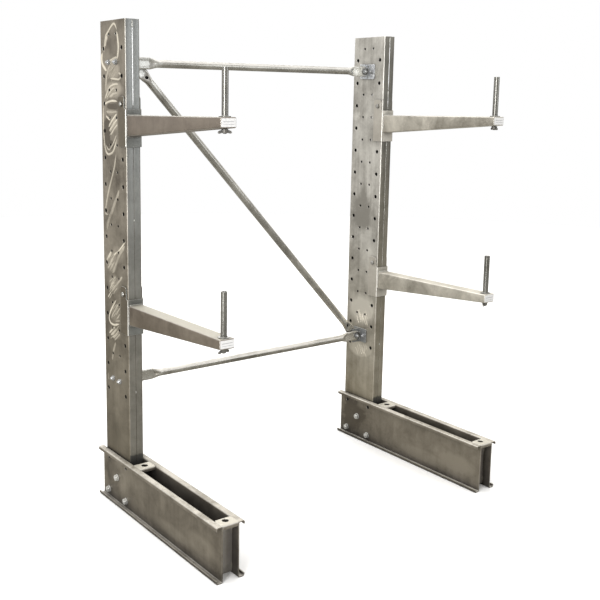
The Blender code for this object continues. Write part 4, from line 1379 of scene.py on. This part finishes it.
RUNS = [  # (depth from the column's front, height) along each run, then its width and how pale it is
    ([(0.167, 1.730), (0.160, 1.765), (0.150, 1.795), (0.130, 1.810), (0.110, 1.825), (0.087, 1.836),
      (0.070, 1.827), (0.060, 1.805)], 0.011, 0.85),
    ([(0.064, 1.811), (0.054, 1.780), (0.051, 1.747), (0.057, 1.720), (0.066, 1.707)], 0.015, 1.0),
    ([(0.136, 1.795), (0.150, 1.782), (0.160, 1.757)], 0.024, 0.85),
    ([(0.178, 1.739), (0.186, 1.717), (0.180, 1.695), (0.160, 1.678), (0.144, 1.669)], 0.017, 0.95),
    ([(0.057, 1.717), (0.085, 1.714), (0.105, 1.709), (0.132, 1.702)], 0.011, 0.85),
    ([(0.050, 1.702), (0.078, 1.710), (0.110, 1.700), (0.130, 1.680), (0.142, 1.660), (0.150, 1.640),
      (0.155, 1.615), (0.160, 1.590)], 0.011, 0.7),
    ([(0.064, 1.663), (0.040, 1.657), (0.036, 1.647), (0.050, 1.638), (0.085, 1.640), (0.122, 1.643)],
     0.011, 0.95),
    ([(0.050, 1.621), (0.090, 1.620), (0.125, 1.610), (0.150, 1.585), (0.167, 1.563)], 0.012, 0.95),
    ([(0.080, 1.608), (0.108, 1.602), (0.132, 1.585), (0.155, 1.567)], 0.010, 0.75),
    ([(0.062, 1.590), (0.100, 1.585), (0.130, 1.573)], 0.014, 0.6),
    ([(0.172, 1.545), (0.145, 1.555), (0.105, 1.561), (0.062, 1.559)], 0.011, 1.0),
    ([(0.160, 1.521), (0.115, 1.519), (0.064, 1.522)], 0.013, 0.45),
    ([(0.158, 1.506), (0.140, 1.497), (0.124, 1.490)], 0.010, 0.8),
    ([(0.066, 1.517), (0.105, 1.491), (0.140, 1.463)], 0.012, 0.9),
    ([(0.062, 1.499), (0.098, 1.475), (0.134, 1.449)], 0.012, 0.85),
    ([(0.063, 1.477), (0.090, 1.461), (0.122, 1.435)], 0.012, 0.7),
    ([(0.175, 1.553), (0.180, 1.515), (0.180, 1.465), (0.175, 1.415), (0.165, 1.380), (0.150, 1.365),
      (0.130, 1.365), (0.105, 1.375), (0.085, 1.400), (0.066, 1.435)], 0.012, 0.8),
    ([(0.166, 1.401), (0.140, 1.381), (0.115, 1.394), (0.092, 1.416), (0.072, 1.443)], 0.009, 0.6),
    ([(0.076, 1.383), (0.085, 1.350), (0.095, 1.320), (0.115, 1.280), (0.140, 1.235), (0.160, 1.190),
      (0.172, 1.155), (0.173, 1.138), (0.155, 1.136), (0.136, 1.145)], 0.013, 0.55),
    ([(0.054, 1.245), (0.075, 1.210), (0.095, 1.185), (0.120, 1.150), (0.145, 1.120), (0.160, 1.090),
      (0.165, 1.063)], 0.022, 0.5),
    ([(0.011, 1.051), (0.035, 1.033), (0.065, 1.010), (0.095, 0.993), (0.117, 0.979)], 0.009, 1.0),
    ([(0.014, 1.037), (0.060, 0.997), (0.085, 0.965), (0.105, 0.935), (0.128, 0.910)], 0.022, 0.55),
    ([(0.122, 1.000), (0.140, 0.987), (0.158, 0.969), (0.172, 0.950)], 0.013, 0.85),
    ([(0.105, 0.985), (0.130, 0.960), (0.148, 0.939), (0.166, 0.925)], 0.012, 0.7),
    ([(0.100, 0.962), (0.122, 0.943), (0.146, 0.920)], 0.010, 0.55),
    ([(0.040, 0.915), (0.075, 0.887), (0.105, 0.861)], 0.014, 0.5),
    ([(0.095, 0.907), (0.117, 0.887), (0.138, 0.863)], 0.012, 0.7),
    ([(0.075, 0.973), (0.098, 0.949), (0.112, 0.925)], 0.010, 0.7),
    ([(0.105, 0.887), (0.128, 0.869), (0.150, 0.847)], 0.009, 0.85),
    ([(0.088, 0.877), (0.114, 0.855), (0.140, 0.837)], 0.010, 0.6),
    ([(0.136, 0.841), (0.150, 0.827), (0.164, 0.813)], 0.008, 1.0),
    ([(0.124, 0.839), (0.140, 0.823), (0.154, 0.809)], 0.006, 0.7),
    ([(0.090, 0.821), (0.115, 0.795), (0.145, 0.760), (0.156, 0.735), (0.145, 0.717), (0.115, 0.714),
      (0.085, 0.722), (0.064, 0.728)], 0.011, 0.95),
    ([(0.066, 0.811), (0.085, 0.795), (0.105, 0.775), (0.128, 0.750), (0.138, 0.731)], 0.009, 0.65),
    ([(0.064, 0.791), (0.082, 0.773), (0.100, 0.753)], 0.008, 0.6),
    ([(0.064, 0.767), (0.080, 0.753), (0.092, 0.741)], 0.008, 0.55),
    ([(0.064, 0.740), (0.085, 0.735), (0.106, 0.731)], 0.006, 0.5),
    ([(0.108, 0.707), (0.130, 0.693), (0.160, 0.671)], 0.010, 0.9),
    ([(0.092, 0.705), (0.120, 0.685), (0.148, 0.665)], 0.009, 0.8),
    ([(0.076, 0.700), (0.104, 0.677), (0.132, 0.660)], 0.009, 0.8),
    ([(0.066, 0.689), (0.092, 0.669), (0.116, 0.653)], 0.009, 0.65),
    ([(0.102, 0.650), (0.118, 0.622), (0.130, 0.590), (0.136, 0.567)], 0.015, 0.45),
    ([(0.170, 0.511), (0.172, 0.495), (0.168, 0.481)], 0.010, 0.4),
]
STROKES = [  # middle depth, middle height, how wide, how tall, how many, how long each is
    (0.100, 1.673, 0.070, 0.050, 8, 0.070),
    (0.110, 1.595, 0.080, 0.040, 7, 0.080),
    (0.100, 1.465, 0.050, 0.050, 5, 0.070),
    (0.130, 0.960, 0.070, 0.060, 8, 0.060),
    (0.120, 0.870, 0.070, 0.050, 8, 0.055),
    (0.100, 0.770, 0.050, 0.060, 6, 0.045),
    (0.112, 0.685, 0.070, 0.040, 7, 0.060),
]
RIGHT_STROKES = [  # the same on the right web, above and below its lower bracket
    (0.088, 0.585, 0.110, 0.034, 11, 0.062),
    (0.088, 0.432, 0.120, 0.034, 11, 0.060),
]
STROKE_WIDTH = (0.003, 0.006)
STROKE_PALE = (0.4, 0.9)
ZINC_RUNS = {  # the runs, the strokes, how far the strokes lean in degrees, and their look
    "left": (RUNS, STROKES, 36, "zinc_runs"),
    "right": ([], RIGHT_STROKES, 118, "right_zinc_runs"),
}


def make_zinc_runs(side):
    """Loops and strokes of thicker zinc on the web that faces -X, cut clear of its holes."""
    lo, _ = column_places(side)
    chance = random.Random(11)
    traced, strokes, slant, look = ZINC_RUNS[side]
    runs = list(traced)
    for depth, z, wide, tall, count, length in strokes:
        for i in range(count):
            share = (i + 0.5) / count - 0.5
            centre = (depth + share * wide * 0.6 * (-1) ** i, z - share * tall)
            lean = math.radians(slant + chance.uniform(-7, 7))
            reach = length / 2 * chance.uniform(0.6, 1.1)
            step = (math.cos(lean) * reach, -math.sin(lean) * reach)
            bow = chance.uniform(-0.004, 0.004)
            path = [
                (centre[0] - step[0], centre[1] - step[1]),
                (centre[0] + bow, centre[1]),
                (centre[0] + step[0], centre[1] + step[1]),
            ]
            runs.append((path, chance.uniform(*STROKE_WIDTH), chance.uniform(*STROKE_PALE)))
    spots = [(y, z, radius) for centres, radius in web_holes(side) for y, z in centres]
    shapes = []
    for number, (path, width, pale) in enumerate(runs):
        run = piece_of(f"run_{number}", run_on_web(lo.x, lo.y, path, width, pale), None)
        near = []
        for y, z, radius in spots:
            gap = min(math.hypot(lo.y + d - y, h - z) for d, h in path)
            if gap < radius + 0.05:
                profile = [(-0.004, radius), (0.004, radius)]
                near.append(lathe(profile, X, Vector((lo.x, y, z)), 24))
        if near:
            carve(run, [joined(near)])
        shape = bmesh.new()
        shape.from_mesh(run.data)
        shapes.append(shape)
        bpy.data.objects.remove(run)
    add_trim(f"{side}_column_zinc_runs", shapes, look, "frame")


# ---------------------------------------------------------------- the rack


def make_rack():
    for side, hand in SIDES.items():
        for word, way in (("outer", hand), ("inner", -hand)):
            make_column_half(side, word, way)
            make_base_channel(side, word, way)
        make_column_lips(side)
        make_column_welds(side)
        make_base_plates(side)
        for spot in ("centre", "low_front", "low_rear"):
            make_bolt(f"{side}_base_bolt_{spot}", X)
        for level in ("top", "bottom"):
            make_bracket(side, level)
            for word in ("front", "rear"):
                make_bolt(f"{side}_{level}_bracket_bolt_{word}", X)
            make_bolt(f"{side}_{level}_brace_bolt", Y)
        for level in LEVELS:
            arm = f"{side}_{level}"
            pivot = Vector(JOINTS[f"{arm}_arm_lift"]["pos_m"])
            make_saddle(arm, pivot, side)
            make_beam(arm, pivot, side)
            make_stop_pin(arm)
            make_wing_nut(arm)
            make_lock_pin(arm)
    for node, ends in BRACES.items():
        make_brace(node, *brace_ends(*ends))
    for side in SIDES:
        make_zinc_runs(side)


# ---------------------------------------------------------------- studio


LIGHTS = [  # name, place, what it points at, size, power and colour
    ("back", (1.6, 4.6, 3.0), (0, 0.2, 1.0), (4.0, 1.6), 90, (1, 1, 1)),
    ("left_back", (-3.6, 4.2, 2.0), (0, 0, 1.2), (2.4, 2.4), 14, (1, 1, 1)),
    ("left_front", (-3.7, -2.3, 1.7), (0, 0, 1.0), (1.0, 2.8), 140, (1, 1, 1)),
    ("above_right", (3.2, -1.6, 4.6), (0, 0, 1.2), (3.6, 4.4), 55, (1, 1, 1)),
    ("right_front", (3.2, -4.6, 2.2), (0, 0, 0.9), (2.2, 2.2), 42, (0.94, 0.97, 1.0)),
]
ROOM_COLOUR = (1.0, 0.96, 0.90, 1)
ROOM_STRENGTH = 0.45
SKY_STRENGTH = 2.5
SKY_SPREAD = 75  # degrees
SKY_TURN = (-14, -8)  # degrees about X and Y
FLOOR_RADIUS = 9.0
CAMERA_PLACE = (-2.189, -2.726, 1.570)
CAMERA_TURN = (35.877, 9.485, 0.698)  # yaw from +Y to +X, pitch down and roll, in degrees
CAMERA_LENS = 54.30
CAMERA_SHIFT = (0.0683, -0.0810)


def make_floor():
    shape = bmesh.new()
    bmesh.ops.create_circle(shape, cap_ends=True, radius=FLOOR_RADIUS, segments=96)
    floor = piece_of("studio_floor", shape, studio_floor("studio_floor"))


def make_light(name, place, target, size, power, colour):
    lamp = bpy.data.lights.new(name, "AREA")
    lamp.shape = "RECTANGLE"
    lamp.size, lamp.size_y = size
    lamp.energy = power
    lamp.color = colour
    made = bpy.data.objects.new(name, lamp)
    made.location = place
    made.rotation_mode = "QUATERNION"
    made.rotation_quaternion = (Vector(target) - Vector(place)).to_track_quat("-Z", "Y")
    made.visible_camera = False
    bpy.context.scene.collection.objects.link(made)


def make_studio():
    """A world that is a warm room to the rack and plain white to the camera, a soft sun and the lights."""
    world = bpy.data.worlds.new("studio")
    world.use_nodes = True
    tree = world.node_tree
    room = tree.nodes["Background"]
    room.inputs["Color"].default_value = ROOM_COLOUR
    room.inputs["Strength"].default_value = ROOM_STRENGTH
    backdrop = tree.nodes.new("ShaderNodeBackground")
    backdrop.inputs["Color"].default_value = (1, 1, 1, 1)
    seen = tree.nodes.new("ShaderNodeLightPath")
    choice = tree.nodes.new("ShaderNodeMixShader")
    tree.links.new(seen.outputs["Is Camera Ray"], choice.inputs[0])
    tree.links.new(room.outputs[0], choice.inputs[1])
    tree.links.new(backdrop.outputs[0], choice.inputs[2])
    tree.links.new(choice.outputs[0], tree.nodes["World Output"].inputs["Surface"])
    bpy.context.scene.world = world
    sky = bpy.data.lights.new("sky", "SUN")
    sky.energy = SKY_STRENGTH
    sky.angle = math.radians(SKY_SPREAD)
    above = bpy.data.objects.new("sky", sky)
    above.rotation_euler = (*map(math.radians, SKY_TURN), 0)
    bpy.context.scene.collection.objects.link(above)
    for light in LIGHTS:
        make_light(*light)


def make_camera():
    yaw, pitch, roll = map(math.radians, CAMERA_TURN)
    ahead = math.cos(pitch)
    look = Vector((math.sin(yaw) * ahead, math.cos(yaw) * ahead, -math.sin(pitch)))
    level = Vector((math.cos(yaw), -math.sin(yaw), 0))
    upright = level.cross(look)
    right = level * math.cos(roll) + upright * math.sin(roll)
    up = upright * math.cos(roll) - level * math.sin(roll)
    lens = bpy.data.cameras.new("camera")
    lens.sensor_width = 36
    lens.lens = CAMERA_LENS
    lens.shift_x, lens.shift_y = CAMERA_SHIFT
    camera = bpy.data.objects.new("camera", lens)
    turn = Matrix((right, up, -look)).transposed().to_4x4()
    camera.matrix_world = Matrix.Translation(CAMERA_PLACE) @ turn
    bpy.context.scene.collection.objects.link(camera)
    bpy.context.scene.camera = camera
    bpy.context.scene.view_settings.view_transform = "Standard"


make_rack()
make_floor()
make_studio()
make_camera()
bpy.context.view_layer.update()
